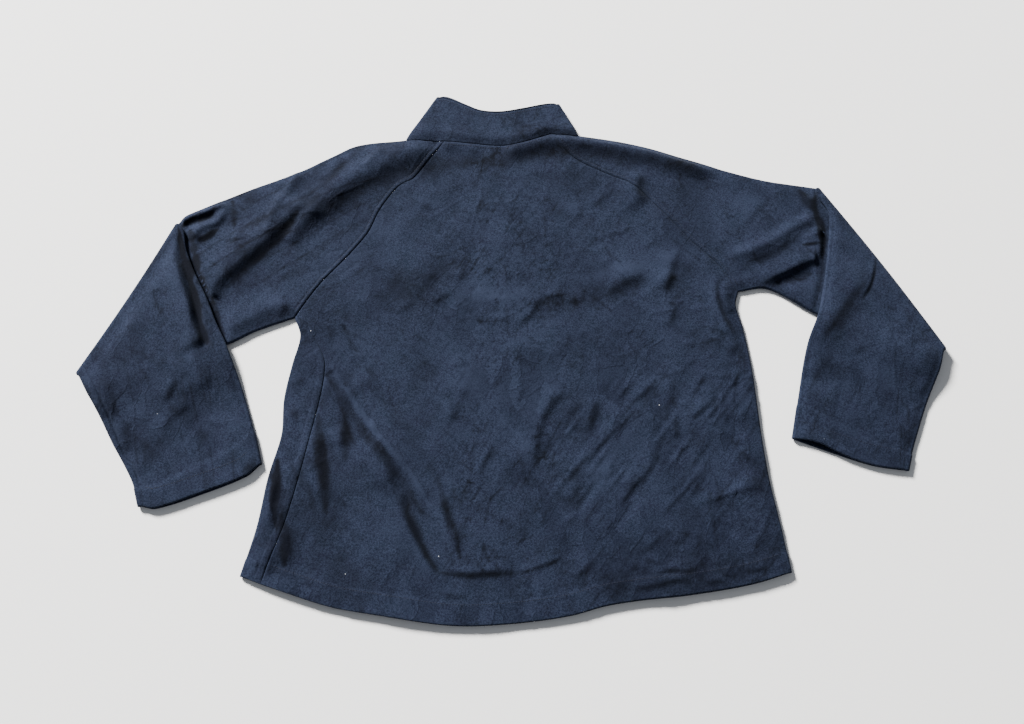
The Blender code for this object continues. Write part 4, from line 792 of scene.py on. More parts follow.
# %% Painted bands and patches of shade
BODY_BANDS = (
    # gaps at the left elbow, where the cloth stands up and no light comes in
    (-.75, 7.5, -452, 160, -447, 142), (-.75, 8, -447, 142, -443, 128), (-.75, 6, -443, 128, -435, 100),
    (-.75, 3.5, -435, 100, -427, 80, -417, 62), (-.75, 5, -413, 60, -408, 42, -399, 20),
    (-.7, 3, -399, 20, -391, 0), (-.7, 5, -438, 146, -426, 152, -414, 163),
    (-.75, 5, -463, 169, -450, 176, -437, 180, -426, 186, -421, 196),
    (-.45, 4.5, -397, 208, -393, 190, -391, 165), (-.35, 4, -400, 145, -382, 146),
    # below the crests of the left arm
    (-.42, 6, -392, 76, -380, 90, -360, 114, -340, 136, -320, 160, -302, 188),
    # right elbow
    (-.8, 8, 410, 224, 418, 208, 428, 192), (-.8, 5, 428, 194, 432, 172, 431, 148),
    (-.65, 3.5, 433, 224, 429, 205, 431, 186, 437, 168), (-.6, 4, 437, 182, 439, 158, 437, 140, 434, 124),
    (-.5, 2.5, 434, 124, 432, 104, 426, 80, 420, 58), (-.55, 2, 405, 139, 420, 140, 434, 143),
    (-.4, 6, 378, 84, 398, 90, 414, 97), (-.45, 2.5, 356, 78, 372, 82),
    # the ridge that runs down from the left armpit, and its dark sides
    (.50, 4, -246, -38, -222, -74, -196, -112, -160, -158, -132, -192, -106, -232),
    (-.45, 7, -250, -52, -228, -84, -202, -124, -168, -168, -140, -204, -116, -240),
    (-.16, 10, -226, 14, -205, -28, -184, -62),
    (-.20, 11, -190, -62, -150, -118, -120, -160, -96, -196), (.16, 5, -206, -34, -168, -92, -130, -148),
    (-.8, 7, -307, -172, -306, -206, -309, -240, -304, -290),
    (-.45, 8, -142, -206, -132, -246, -112, -286), (-.65, 8, -298, -246, -291, -272, -289, -308),
    (-.5, 9, -257, -112, -252, -156, -244, -200, -240, -240), (-.4, 9, -224, -66, -220, -110, -218, -168),
    (-.22, 7, -292, -96, -286, -118), (-.2, 8, -290, -40, -286, -76), (.3, 2, -248, -40, -256, -90),
    # the long folds of the lower left side
    (-.35, 7, -176, -138, -162, -172, -150, -208, -138, -238, -124, -268, -108, -298, -94, -320),
    (-.5, 6, -94, -204, -87, -230, -78, -260, -66, -298),
    (-.4, 5, -90, -319, -50, -323, -20, -321, 20, -317),
)
BODY_CLOUDS = (
    # the hollow under the shoulders and the neck
    (-.2, 16, -340, 222, -270, 264, -190, 292), (-.34, 14, -386, 96, -363, 126, -316, 170, -284, 206),
    (-.5, 13, -262, 196, -207, 234, -152, 256, -110, 266, -71, 271, -16, 274, 30, 281, 65, 287,
     147, 283, 200, 273, 262, 254),
    # the bowed ridge across the back
    (.3, 12, -71, 61, -20, 62, 24, 64, 70, 78, 120, 92, 170, 104, 228, 126),
    (-.16, 14, 4, 22, 22, 40, 62, 54, 110, 54), (-.08, 14, 120, 60, 170, 78, 204, 86),
    (-.26, 15, -158, 84, -120, 100, -72, 112), (-.14, 14, -139, 206, -114, 172),
    (.2, 70, -30, 10, 10, -80), (-.2, 50, -300, -200, -220, -330), (-.2, 14, 86, -33, 84, -222),
    (-.3, 20, 130, -338, 230, -330, 330, -296), (.14, 26, -230, 110, -190, 150),
    (-.22, 30, -148, 64, -120, 76, -92, 84), (-.20, 34, 130, -318, 176, -308, 226, -300),
    (-.16, 22, 60, 246, 110, 240, 190, 224), (-.12, 26, -240, -180, -232, -240, -224, -300),
    (.18, 26, 120, -190, 150, -150), (.10, 30, -40, -60, 10, -90), (.12, 26, -30, 200, 20, 190),
    (.10, 24, 190, 30, 215, 0), (-.15, 22, 312, -200, 322, -230), (-.12, 18, 300, 60, 298, 20),
    (.12, 24, -300, 252, -240, 280), (.10, 22, 330, 200, 380, 216), (-.12, 24, 20, -270, 60, -300),
)
FOREARM_BANDS = (
    (-.8, 9, 412, 224, 421, 210, 431, 196), (-.8, 6, 430, 198, 433, 176, 432, 150),
    (-.8, 5, -466, 160, -462, 140, -457, 120, -449, 100), (-.8, 8, -456, 118, -449, 100, -443, 80),
    (-.8, 6.5, -443, 80, -436, 60, -430, 40, -425, 22), (-.8, 4.5, -426, 24, -417, 0, -411, -12),
    (-.3, 4, -411, -12, -400, -24), (-.35, 6, 424, 2, 440, 18, 455, 40, 468, 58, 484, 76),
    (-.5, 1.5, 504, 118, 503, 105, 500, 92, 494, 75, 487, 63, 480, 54),
)
FOREARM_CLOUDS = (
    (-.15, 22, -545, -20, -500, -30), (-.12, 20, -400, -60, -385, -90), (.12, 22, -490, -90, -478, -130),
    (-.16, 18, 420, -40, 400, -100), (.10, 26, 480, -100, 500, -60), (.12, 14, -484, 110, -462, 70),
)
print("folds", len(BODY_FOLDS), len(FOREARM_FOLDS["left"]), len(FOREARM_FOLDS["right"]),
      "bands", len(BODY_BANDS) + len(FOREARM_BANDS), "patches", len(BODY_CLOUDS) + len(FOREARM_CLOUDS))

# %% [markdown]
# ## How high the cloth lies
# The lower layer rests on the table and the upper one lies on it, a little higher over
# the zip. Seams pull the cloth down into a groove, with the seam's turned edges as a
# raised band on one side. The forearms lie over the upper arms, which flattens these.

# %% Heights
LOWEST_OVER_CLOTH = 3.3
LOWEST_OVER_ZIP = 6.9
EDGE_DROP = 1.6          # toward an open edge, and the width of that slope
EDGE_DROP_WIDTH = 8.0
FOREARM_EDGE_DROP_WIDTH = 7.0
ZIP_SPREAD = 45.0        # of the ridge that the zip makes in the cloth above it
SHADE_RANGE = (-0.9, 0.6)
SHADE_FROM = 3.0         # the height above which cloth that faces up has painted shade
SEAM_CURVES = {
    "raglan_left": smooth_curve(BACK_RAGLAN["left"]),
    "raglan_right": smooth_curve(BACK_RAGLAN["right"]),
    "side_left": smooth_curve(SIDE_SEAM["left"]),
    "forearm": smooth_curve(FOREARM_SEAM),
    "neck": smooth_curve(BACK_NECK),
}
# which side the turned edges lie on, their width and rise, and the depth of the groove
SEAMS = {
    "raglan_left": (1.0, 5.5, 0.35, 0.25),
    "raglan_right": (-1.0, 4.5, 0.3, 0.7),
    "side_left": (1.0, 9.0, 0.7, 0.5),
    "neck": (-1.0, 4.0, 0.5, 0.2),
    "forearm": (-1.0, 8.0, 1.1, 2.0),
}
BODY_SEAMS = ("raglan_left", "raglan_right", "side_left", "neck")
SEAM_REACH = 20.0
GROOVE_WIDTH = 1.7
DENT = 0.5               # of the stitches that hold a seam's turned edges
DENT_WIDTH = 1.2
DENT_BEYOND = 0.8        # the turned edges
SEAM_FADES = {"side_left": 0.25}
HEM_ROW = 25.6
HEM_ROW_RISE = 0.7
HEM_ROW_WIDTH = 1.8
HEM_ROW_CURVE = inset(smooth_curve(HEM), (0.0, 0.0), HEM_ROW)
INNER_CURVES = {name: smooth_curve(FOREARM_INNER[name]) for name, _ in SIDES}
UNDERARM_CURVES = {name: smooth_curve(UNDERARM[name]) for name, _ in SIDES}
OPEN_EDGES = [smooth_curve(BODY_EDGE["left"]), smooth_curve(BODY_EDGE["right"]),
              smooth_curve(SHOULDER["left"]), smooth_curve(SHOULDER["right"]),
              UNDERARM_CURVES["left"], UNDERARM_CURVES["right"]]


def seam_relief(name, x, y):
    """A seam's groove, the raised band beside it and the dent of its stitching."""
    total = np.zeros(np.shape(x))
    curve = SEAM_CURVES[name]
    band_side, band_width, band_rise, groove = SEAMS[name]
    near = near_to(curve, x, y, SEAM_REACH)
    if near.any():
        gap, share, side = distance_to(curve, x[near], y[near])
        d = gap * side * band_side
        fade = smoothstep(share, 0.0, 0.02) * smoothstep(1 - share, 0.0, SEAM_FADES.get(name, 0.02))
        band = smoothstep(d, 0.4, 2.2) * (1 - smoothstep(d, band_width, band_width + 2.0))
        dent = DENT * np.exp(-((d - band_width - DENT_BEYOND) / DENT_WIDTH)**2)
        total[near] = fade * (band_rise * band - dent - groove * np.exp(-(gap / GROOVE_WIDTH)**2))
    return total


def past_inner_edge(x, y, start, end):
    """A rise from 0 to 1 across a forearm's inner edge, between two distances beyond it."""
    cover = np.zeros(np.shape(x))
    for name, turn in SIDES:
        gap, _, side = distance_to(INNER_CURVES[name], x, y)
        on_arm = (np.abs(x) > ARM_START) & (np.sign(x) == turn)
        cover = np.maximum(cover, smoothstep(gap * side * turn, start, end) * on_arm)
    return cover


def under_forearm(x, y):
    """1 on the part of an upper arm that a forearm covers, 0 elsewhere."""
    return past_inner_edge(x, y, -11.0, -3.5) * (y > FOREARM_CROSSING)


def unevenness(x, y):
    """The small soft shapes that laid fleece has all over."""
    total = 1.3 * lumps(x, y, 95.0, 1) + 0.9 * lumps(x, y, 38.0, 2) + 0.15 * lumps(x, y, 15.0, 3)
    web = crumple(x, y, 62.0, 3.4, 4) * smoothstep(lumps(x, y, 70.0, 5), -0.2, 0.7)
    fine_web = crumple(x + 0.4 * y, y, 34.0, 2.6, 6) * smoothstep(lumps(x, y, 90.0, 7), 0.0, 0.8)
    return total + 0.5 * web - 0.5 * fine_web


def fanned(x, y):
    """The bundles of narrow creases that fan down from the body's right side."""
    lower = smoothstep(x, 20, 110) * smoothstep(-y, 20, 70) * smoothstep(y, -330, -250)
    middle = (smoothstep(x, -130, -60) * smoothstep(-x, -60, 0) * smoothstep(y, -260, -160)
              * smoothstep(-y, -30, 40))
    patchy = smoothstep(lumps(x, y, 48.0, 11), -0.35, 0.5)
    return patchy * (0.9 * lower * streaks(x, y, 52.0, 70.0, 11.0, 9)
                     + 0.6 * middle * streaks(x, y, 66.0, 46.0, 8.0, 10))


def clouds(rows, x, y):
    """Wide soft patches of painted shade: strength, radius and path."""
    total = np.zeros(np.shape(x))
    for strength, radius, *numbers in rows:
        gap, _, _ = distance_to(np.array(pairs(numbers), float), x, y)
        total += strength * np.exp(-(gap / radius)**2)
    return total


# strength, size and seed of the soft patches of painted shade all over the pile
PAINTED_SHADE_PATCHES = ((0.12, 44.0, 20), (0.05, 15.0, 21), (0.07, 8.5, 22), (0.05, 5.0, 23))
# strength, patches and area of the thin lines of painted shade, then their angle to the
# X axis, their length, their spacing, a seed and how thin they are, nearest to 1 for the thinnest
PAINTED_SHADE_LINES = (
    (0.42, 0, "right", 51.0, 80.0, 7.0, 30, 0.78), (0.36, 1, "right", 62.0, 60.0, 6.0, 31, 0.78),
    (0.38, 0, "far right", 82.0, 50.0, 6.0, 32, 0.78), (0.55, 1, "middle", 60.0, 44.0, 6.0, 33, 0.78),
    (0.42, 0, "middle", 12.0, 44.0, 7.0, 34, 0.78), (0.40, 0, "middle", 94.0, 36.0, 6.0, 39, 0.78),
    (0.36, 1, "middle", 134.0, 34.0, 6.0, 40, 0.78), (0.34, 0, "left", 104.0, 90.0, 11.0, 35, 0.6),
    (0.40, 1, "high", 24.0, 46.0, 7.0, 36, 0.78), (0.36, 0, "high", 138.0, 40.0, 7.0, 37, 0.78),
    (0.40, 2, "left arm", 36.0, 150.0, 17.0, 38, 0.5),
)


def wear_and_painted_shade(x, y):
    """Painted shade all over the cloth: soft patches, and thin lines that differ by area."""
    total = sum(strength * lumps(x, y, size, seed) for strength, size, seed in PAINTED_SHADE_PATCHES)
    total += 0.12 * streaks(x, y, 56.0, 60.0, 9.0, 26) - 0.05
    total += 0.10 * streaks(x, y, 152.0, 36.0, 9.0, 27) - 0.04
    patches = (smoothstep(lumps(x, y, 36.0, 24), -0.5, 0.5), smoothstep(lumps(x, y, 30.0, 25), -0.4, 0.5),
               1.0)
    low = smoothstep(-y, 10, 70)
    areas = {
        "right": smoothstep(x, 30, 120) * low,
        "far right": smoothstep(x, 190, 260) * smoothstep(-y, -60, 20),
        "middle": smoothstep(x, -110, -50) * smoothstep(-x, -120, -40),
        "left": smoothstep(-x, 90, 170) * low,
        "high": 1 - low,
        "left arm": smoothstep(-x, 170, 230) * smoothstep(y, 60, 110),
    }
    for strength, patch, area, angle, length, width, seed, thin in PAINTED_SHADE_LINES:
        line = smoothstep(streaks(x, y, angle, length, width, seed), thin, 1.0)
        total -= strength * patches[patch] * areas[area] * line
    return total


def painted_shade(x, y):
    """The shade painted into the pile: below 0 darker than the dye, above 0 lighter."""
    over = past_inner_edge(x, y, -1.5, 1.0)
    forearm_folds = FOREARM_FOLDS["left"] + FOREARM_FOLDS["right"]
    body, arm = (fold_relief(folds, x, y, painted=True) + bands(band_rows, x, y) + clouds(cloud_rows, x, y)
                 for folds, band_rows, cloud_rows in ((BODY_FOLDS, BODY_BANDS, BODY_CLOUDS),
                                                      (forearm_folds, FOREARM_BANDS, FOREARM_CLOUDS)))
    return np.clip(body * (1 - over) + arm * over + wear_and_painted_shade(x, y), *SHADE_RANGE)


def paint_shade(mesh):
    """Writes the painted shade at the points of the cloth that face up."""
    count = len(mesh.vertices)
    places = np.empty(count * 3)
    normals = np.empty(count * 3)
    mesh.vertices.foreach_get("co", places)
    mesh.vertices.foreach_get("normal", normals)
    places = places.reshape(-1, 3) / MM
    facing = smoothstep(normals.reshape(-1, 3)[:, 2], 0.0, 0.3) * (places[:, 2] > SHADE_FROM)
    values = np.zeros(count)
    seen = facing > 0
    values[seen] = painted_shade(places[seen, 0], places[seen, 1]) * facing[seen]
    mesh.attributes.new("shade", "FLOAT", "POINT").data.foreach_set("value", values)


def soft_floor(z, lowest):
    """Heights held above a lowest one, with a soft turn."""
    return lowest + np.logaddexp(0.0, (z - lowest) * 1.6) / 1.6


def upper_height(x, y):
    """Middle of the upper layer of the body and the upper arms."""
    over_zip = np.exp(-((x - ZIP_X) / ZIP_SPREAD)**2) * smoothstep(y, 20.0, 75.0)
    covered = under_forearm(x, y)
    shape = fold_relief(BODY_FOLDS, x, y) + unevenness(x, y) + fanned(x, y)
    for name in BODY_SEAMS:
        shape = shape + seam_relief(name, x, y)
    near = near_to(HEM_ROW_CURVE, x, y, 8.0)
    if near.any():
        gap, _, _ = distance_to(HEM_ROW_CURVE, x[near], y[near])
        shape[near] += HEM_ROW_RISE * np.exp(-(gap / HEM_ROW_WIDTH)**2)
    for edge in OPEN_EDGES:
        near = near_to(edge, x, y, 3 * EDGE_DROP_WIDTH)
        if near.any():
            gap, _, _ = distance_to(edge, x[near], y[near])
            shape[near] -= EDGE_DROP * np.exp(-(gap / EDGE_DROP_WIDTH)**2)
    height = LAY_HEIGHT + ZIP_RIDGE * over_zip + shape * (1 - covered) - UNDERLAY * covered
    zip_cover = (1 - smoothstep(np.abs(x - ZIP_X), 18.0, 30.0)) * smoothstep(y, 40.0, 56.0)
    lowest = LOWEST_OVER_CLOTH + (LOWEST_OVER_ZIP - LOWEST_OVER_CLOTH) * zip_cover
    return soft_floor(height, lowest)


def forearm_lift(name, x, y):
    """How far a forearm is raised by the upper arm that it lies on."""
    gap, _, side = distance_to(UNDERARM_CURVES[name], x, y)
    inside = gap * side * SIDEWAYS[name]
    return FOREARM_LIFT * smoothstep(inside, -LIFT_SLOPE - 6.0, -6.0)


def forearm_shape(name, x, y):
    """Folds, seam and unevenness of a forearm's upper layer."""
    shape = fold_relief(FOREARM_FOLDS[name], x, y) + unevenness(x + 900, y)
    if name == "left":
        shape = shape + seam_relief("forearm", x, y)
    return shape


# %% [markdown]
# ## Turning surfaces into cloth
# A piece is first drawn as grids of its middle surface. The outer face takes every point
# of the grids, the hidden inner face takes every third one, and narrow strips close the
# wall round the edges, so the shell is fine where it is seen and light where it isn't.

# %% The cloth builder
THIN = 3                 # the inner face has one point for this many on the outer face
WALL_SHARE_AT_EDGE = (0.85, 0.96, 1.0)


def new_object(name, vertices, faces, material):
    """A smooth mesh object from its points in millimetres and the corners of its faces."""
    mesh = bpy.data.meshes.new(name)
    mesh.from_pydata((vertices * MM).tolist(), [], faces)
    mesh.materials.append(material)
    mesh.shade_smooth()
    thing = bpy.data.objects.new(name, mesh)
    scene.collection.objects.link(thing)
    return thing


class Cloth:
    """Grids of a piece's middle surface, welded where they meet and given a wall."""

    def __init__(self):
        self.grids = []

    def add(self, places, normals, walls):
        self.grids.append((places, normals, np.broadcast_to(walls, places.shape[:2])))

    def lay(self, plan, heights, walls, facing=1.0):
        """Adds a layer that lies flat and faces up, or down where facing is -1."""
        places, normals = flat_layer(plan, heights)
        self.add(places, facing * normals, walls)

    def build(self, name, material):
        points = np.vstack([g[0].reshape(-1, 3) for g in self.grids])
        units = np.vstack([g[1].reshape(-1, 3) for g in self.grids])
        walls = np.concatenate([g[2].reshape(-1) for g in self.grids])
        units = units / np.linalg.norm(units, axis=1)[:, None]
        _, first, weld = np.unique(np.round(points, 2), axis=0, return_index=True,
                                   return_inverse=True)
        weld = weld.reshape(-1)
        count = len(first)
        half = (units * walls[:, None] / 2)[first]
        ids, start = [], 0
        for places, _, _ in self.grids:
            size = places.shape[0] * places.shape[1]
            ids.append(weld[start:start + size].reshape(places.shape[:2]))
            start += size
        outer = np.vstack([self.quads(grid) for grid in ids])
        inner = np.vstack([self.quads(grid[::THIN, ::THIN]) for grid in ids])[:, ::-1] + count
        faces = self.clean(outer) + self.clean(inner) + self.rims(ids, outer, count)
        vertices = np.vstack([points[first] + half, points[first] - half])
        used = np.unique(np.concatenate([np.array(face) for face in faces]))
        order = np.zeros(2 * count, int)
        order[used] = np.arange(len(used))
        faces = [[int(order[v]) for v in face] for face in faces]
        return shell_object(name, vertices[used], faces, material)

    @staticmethod
    def quads(grid):
        return np.stack([grid[:-1, :-1], grid[:-1, 1:], grid[1:, 1:], grid[1:, :-1]],
                        axis=2).reshape(-1, 4)

    @staticmethod
    def clean(quads):
        """Faces as lists, with corners that fell together taken out."""
        double = ((quads == np.roll(quads, 1, axis=1)).any(axis=1)
                  | (quads[:, 0] == quads[:, 2]) | (quads[:, 1] == quads[:, 3]))
        faces = quads[~double].tolist()
        for quad in quads[double].tolist():
            face = list(dict.fromkeys(quad))
            if len(face) > 2:
                faces.append(face)
        return faces

    @staticmethod
    def rims(ids, outer, count):
        """Strips that join the outer face's free edges to the coarser inner face."""
        ends = np.sort(np.stack([outer, np.roll(outer, -1, axis=1)], axis=2).reshape(-1, 2), axis=1)
        ends = ends[ends[:, 0] != ends[:, 1]]
        keys, uses = np.unique(ends[:, 0] * count + ends[:, 1], return_counts=True)
        free = set(keys[uses == 1].tolist())
        faces = []
        for grid in ids:
            for line in (grid[0], grid[-1], grid[:, 0], grid[:, -1]):
                for k in range(0, len(line) - 1, THIN):
                    a, b, c, d = (int(v) for v in line[k:k + THIN + 1])
                    if min(a, b) * count + max(a, b) in free and a != b:
                        faces += [[b, a, a + count], [c, b, a + count, d + count],
                                  [d, c, d + count]]
        return faces


def shell_object(name, vertices, faces, material):
    """A piece of cloth with its faces turned outward and its shade painted on."""
    thing = new_object(name, vertices, faces, material)
    mesh = thing.data
    work = bmesh.new()
    work.from_mesh(mesh)
    bmesh.ops.recalc_face_normals(work, faces=work.faces)
    if work.calc_volume(signed=True) < 0:
        bmesh.ops.reverse_faces(work, faces=work.faces)
    open_edges = sum(1 for edge in work.edges if len(edge.link_faces) != 2)
    area = sum(face.calc_area() for face in work.faces) / 2
    work.to_mesh(mesh)
    work.free()
    paint_shade(mesh)
    triangles = sum(len(face) - 2 for face in faces)
    print(f"{name}: {triangles} triangles, {area:.4f} m2, {open_edges} open edges")
    return thing


def cloth_of(places, normals, walls):
    """A piece of cloth that is a single grid."""
    cloth = Cloth()
    cloth.add(places, normals, walls)
    return cloth


def flat_layer(plan, heights):
    """Places and upright wall directions of a layer that lies flat."""
    places = np.concatenate([plan, np.broadcast_to(heights, plan.shape[:2])[..., None]], axis=2)
    normals = np.zeros(places.shape)
    normals[..., 2] = 1.0
    return places, normals


ROLL_STEPS = 9


def rolled_edge(high, low, high_z, low_z, out):
    """The rounded turn from an upper layer's edge down to the layer below it."""
    angles = np.linspace(math.pi / 2, -math.pi / 2, ROLL_STEPS + 1)[None, :]
    middle = ((high_z + low_z) / 2)[:, None]
    reach = ((high_z - low_z) / 2)[:, None]
    share = ((1 + np.sin(angles)) / 2)[..., None]
    places = np.zeros((len(high), ROLL_STEPS + 1, 3))
    normals = np.zeros(places.shape)
    places[..., :2] = (high[:, None] * share + low[:, None] * (1 - share)
                       + out[:, None] * (EDGE_ROLL * np.cos(angles))[..., None])
    places[..., 2] = middle + reach * np.sin(angles)
    normals[..., :2] = out[:, None] * (np.cos(angles) / EDGE_ROLL)[..., None]
    normals[..., 2] = np.sin(angles) / reach
    places[:, 0] = np.column_stack([high, high_z])
    places[:, -1] = np.column_stack([low, low_z])
    normals[:, 0] = (0.0, 0.0, 1.0)
    normals[:, -1] = (0.0, 0.0, -1.0)
    return places, normals


# %% [markdown]
# ## Back panel
# The back is the largest piece. It is cut from hem to neck between the raglan seams, and
# on its right side it turns under the body to meet the front at the side seam.

# %% Rows, columns and the back panel
BODY_LENGTH = 370.0
RAGLAN_LENGTH = 340.0
BODY_WIDTH = 430.0
SIDE_COUNT = 159
RAGLAN_COUNT = 129
ACROSS_COUNT = 261
HALF_FRONT_COUNT = 45
WRAP_COUNT = 24
SIDE_ROWS = graded(SIDE_COUNT, first=[d / BODY_LENGTH for d in (0.5, 1.4, 3.0)])
RAGLAN_ROWS = graded(RAGLAN_COUNT, last=[d / RAGLAN_LENGTH for d in (0.8, 2.2, 4.5)])
ARMPIT_ROW = SIDE_COUNT
BODY_ROWS = SIDE_COUNT + RAGLAN_COUNT + 1
NEAR_SEAM = [d / BODY_WIDTH for d in (0.9, 2.2, 4.0)]
ACROSS = graded(ACROSS_COUNT, first=NEAR_SEAM, last=NEAR_SEAM)


def row_walls():
    """Wall thickness of the body's cloth in each row: the hem is doubled and rounded."""
    distance = SIDE_ROWS * BODY_LENGTH
    walls = np.full(BODY_ROWS, WALL)
    walls[:len(distance)] += (HEM_WALL - WALL) * (1 - smoothstep(distance, HEM_DEPTH - 2.0,
                                                                 HEM_DEPTH + 1.0))
    walls[:3] = np.array(WALL_SHARE_AT_EDGE) * HEM_WALL
    return walls


def rim_centre(table, rows, inside):
    """The line that a rounded edge turns about, a little inside its outline."""
    return inset(drawn(table, rows), inside, RIM)


def edge_centre(name):
    """The line that the body's rounded side edge turns about, hem to armpit."""
    centre = rim_centre(BODY_EDGE[name], SIDE_ROWS, INSIDE_BODY)
    centre[-1] = BACK_RAGLAN[name][0]
    return centre


def armpit_out(name):
    """The outward direction at an armpit, which the body shares with the sleeve."""
    return np.array([SIDEWAYS[name], -1.0]) / math.sqrt(2)


def edge_out(name):
    """Outward directions along a side edge of the body, hem to armpit."""
    out = outward(drawn(BODY_EDGE[name], SIDE_ROWS), INSIDE_BODY)
    out[-1] = armpit_out(name)
    return out


def hem_between(start, end, wanted):
    """Points of the hem between two places on it."""
    curve = smooth_curve(HEM)
    x = start[0] + wanted * (end[0] - start[0])
    y = np.interp(x, curve[:, 0], curve[:, 1])
    return fit_ends(np.stack([x, y], axis=1), start, end)


def side_of_body(lower, name, raglan):
    """One side of a body panel: below the armpit, then up its raglan seam."""
    upper = drawn(raglan[name], RAGLAN_ROWS)
    lower = lower.copy()
    lower[-1] = upper[0]
    return np.vstack([lower, upper[1:]])


def seam_line(name):
    """A side seam, hem to armpit, a point for each row of the body."""
    return drawn(SIDE_SEAM[name], SIDE_ROWS)


def trimmed(plan, sides):
    """A panel's plan kept half a seam gap inside its seams."""
    plan = plan.copy()
    half = SEAM_GAP / 2
    for side in sides:
        line, next_line = {"left": (plan[:, 0], plan[:, 1]), "right": (plan[:, -1], plan[:, -2]),
                           "top": (plan[-1], plan[-2]), "bottom": (plan[0], plan[1])}[side]
        run = next_line - line
        line += run * half / np.maximum(np.linalg.norm(run, axis=1), 1e-6)[:, None]
    return plan


def back_plan():
    """The back seen from above."""
    left = side_of_body(seam_line("left"), "left", BACK_RAGLAN)
    right = side_of_body(edge_centre("right"), "right", BACK_RAGLAN)
    neck = drawn(BACK_NECK, ACROSS)
    hem = hem_between(left[0], right[0], ACROSS)
    return fill(hem, neck, left, right)


def between(first, second, across):
    """The plan of the cloth between two lines, with columns at the given shares."""
    share = np.asarray(across)[None, :, None]
    return first[:, None] * (1 - share) + second[:, None] * share


def back_panel():
    """The back, its rounded right edge and the strip that turns under to the side seam."""
    cloth = Cloth()
    plan = back_plan()
    walls = row_walls()[:, None]
    top = upper_height(plan[..., 0], plan[..., 1])
    cloth.lay(plan, top, walls)
    lower = slice(0, ARMPIT_ROW + 1)
    edge = plan[lower, -1]
    low_z = walls[lower, 0] / 2
    cloth.add(*rolled_edge(edge, edge, top[lower, -1], low_z, edge_out("right")), walls[lower])
    seam = seam_line("right")
    seam[-1] = edge[-1]
    cloth.lay(between(edge, seam, steps(WRAP_COUNT)), low_z[:, None], walls[lower], -1.0)
    return cloth.build("back_cloth", fleece)


back_cloth = back_panel()

# %% [markdown]
# ## Front panel
# The front lies face down. It has a slit for the zip with the cloth turned under along
# it, and on its left side it comes up round the edge, where its seam with the back
# shows on top of the laid garment.

# %% The front panel
FACING_EDGE = SLIT_WIDTH / 2 + SLIT_FACING
FACING_STEP = 0.6
LIP_SHARES = (0, 0.3, 0.62, 0.86, 0.95, 0.985, 1.0)
LIP_ROUNDING = np.array([1, 1, 1, 1, 0.9, 0.7, 0.35])


def centre_line(offset):
    """Points up a line beside the centre front, a row for each row of the body."""
    curve = smooth_curve(HEM)
    x = ZIP_X + offset
    hem_y = np.interp(x, curve[:, 0], curve[:, 1])
    lower = hem_y + SIDE_ROWS * (SLIT_BOTTOM - hem_y)
    neck = smooth_curve(FRONT_NECK["left" if offset < 0 else "right"])
    neck = neck[np.argsort(neck[:, 0])]
    neck_y = np.interp(x, neck[:, 0], neck[:, 1])
    upper = SLIT_BOTTOM + RAGLAN_ROWS[1:] * (neck_y - SLIT_BOTTOM)
    y = np.concatenate([lower, upper])
    return np.stack([np.full(len(y), x), y], axis=1)


def front_panel():
    """The front in two halves, the cloth turned under at the zip, and the strip that comes
    up round the left edge to the side seam."""
    cloth = Cloth()
    walls = row_walls()
    facing_walls = walls.copy()
    facing_walls[ARMPIT_ROW + 1:] = FACING_WALL
    on_slit = (np.arange(BODY_ROWS) > ARMPIT_ROW)[:, None]
    lip_walls = facing_walls[:, None] * np.where(on_slit, LIP_ROUNDING, 1.0)
    turn_walls = steps(3)[None] * (facing_walls - walls)[:, None] + walls[:, None]
    for name, sideways in SIDES:
        lower = edge_centre("left") if name == "left" else seam_line("right")
        outer = side_of_body(lower, name, FRONT_RAGLAN)
        inner = centre_line(sideways * (FACING_EDGE + FACING_STEP))
        neck = smooth_curve(FRONT_NECK[name])
        reach = (inner[-1, 0] - neck[0, 0]) / (neck[-1, 0] - neck[0, 0])
        neck = along(neck, steps(HALF_FRONT_COUNT) * reach)
        neck[-1] = inner[-1]
        hem = hem_between(outer[0], inner[0], steps(HALF_FRONT_COUNT))
        plan = fill(hem, neck, outer, inner)
        cloth.lay(plan, walls[:, None] / 2, walls[:, None], -1.0)
        near_slit = centre_line(sideways * FACING_EDGE)
        cloth.lay(between(plan[:, -1], near_slit, steps(3)), turn_walls / 2, turn_walls, -1.0)
        lip = centre_line(sideways * SLIT_WIDTH / 2)
        cloth.lay(between(near_slit, lip, LIP_SHARES), facing_walls[:, None] / 2, lip_walls, -1.0)
        if name == "left":
            edge = plan[:ARMPIT_ROW + 1, 0]
    rows = slice(0, ARMPIT_ROW + 1)
    walls = walls[rows, None]
    bridge = between(centre_line(-SLIT_WIDTH / 2)[rows], centre_line(SLIT_WIDTH / 2)[rows], steps(3))
    cloth.lay(bridge, walls / 2, walls, -1.0)
    high_z = upper_height(edge[:, 0], edge[:, 1])
    cloth.add(*rolled_edge(edge, edge, high_z, walls[:, 0] / 2, edge_out("left")), walls)
    seam = seam_line("left")
    seam[-1] = edge[-1]
    plan = trimmed(between(edge, seam, steps(WRAP_COUNT)), ["right"])
    plan[-1] = edge[-1]
    cloth.lay(plan, upper_height(plan[..., 0], plan[..., 1]), walls)
    return cloth.build("front_cloth", fleece)


front_cloth = front_panel()

# %% [markdown]
# ## Sleeves
# Each sleeve is one tube from the raglan seam to the cuff. It is drawn as rings: the
# upper layer, a rounded edge, the lower layer and the other rounded edge. At the elbow
# the whole tube is folded back over itself, so past the fold the rings are turned over.

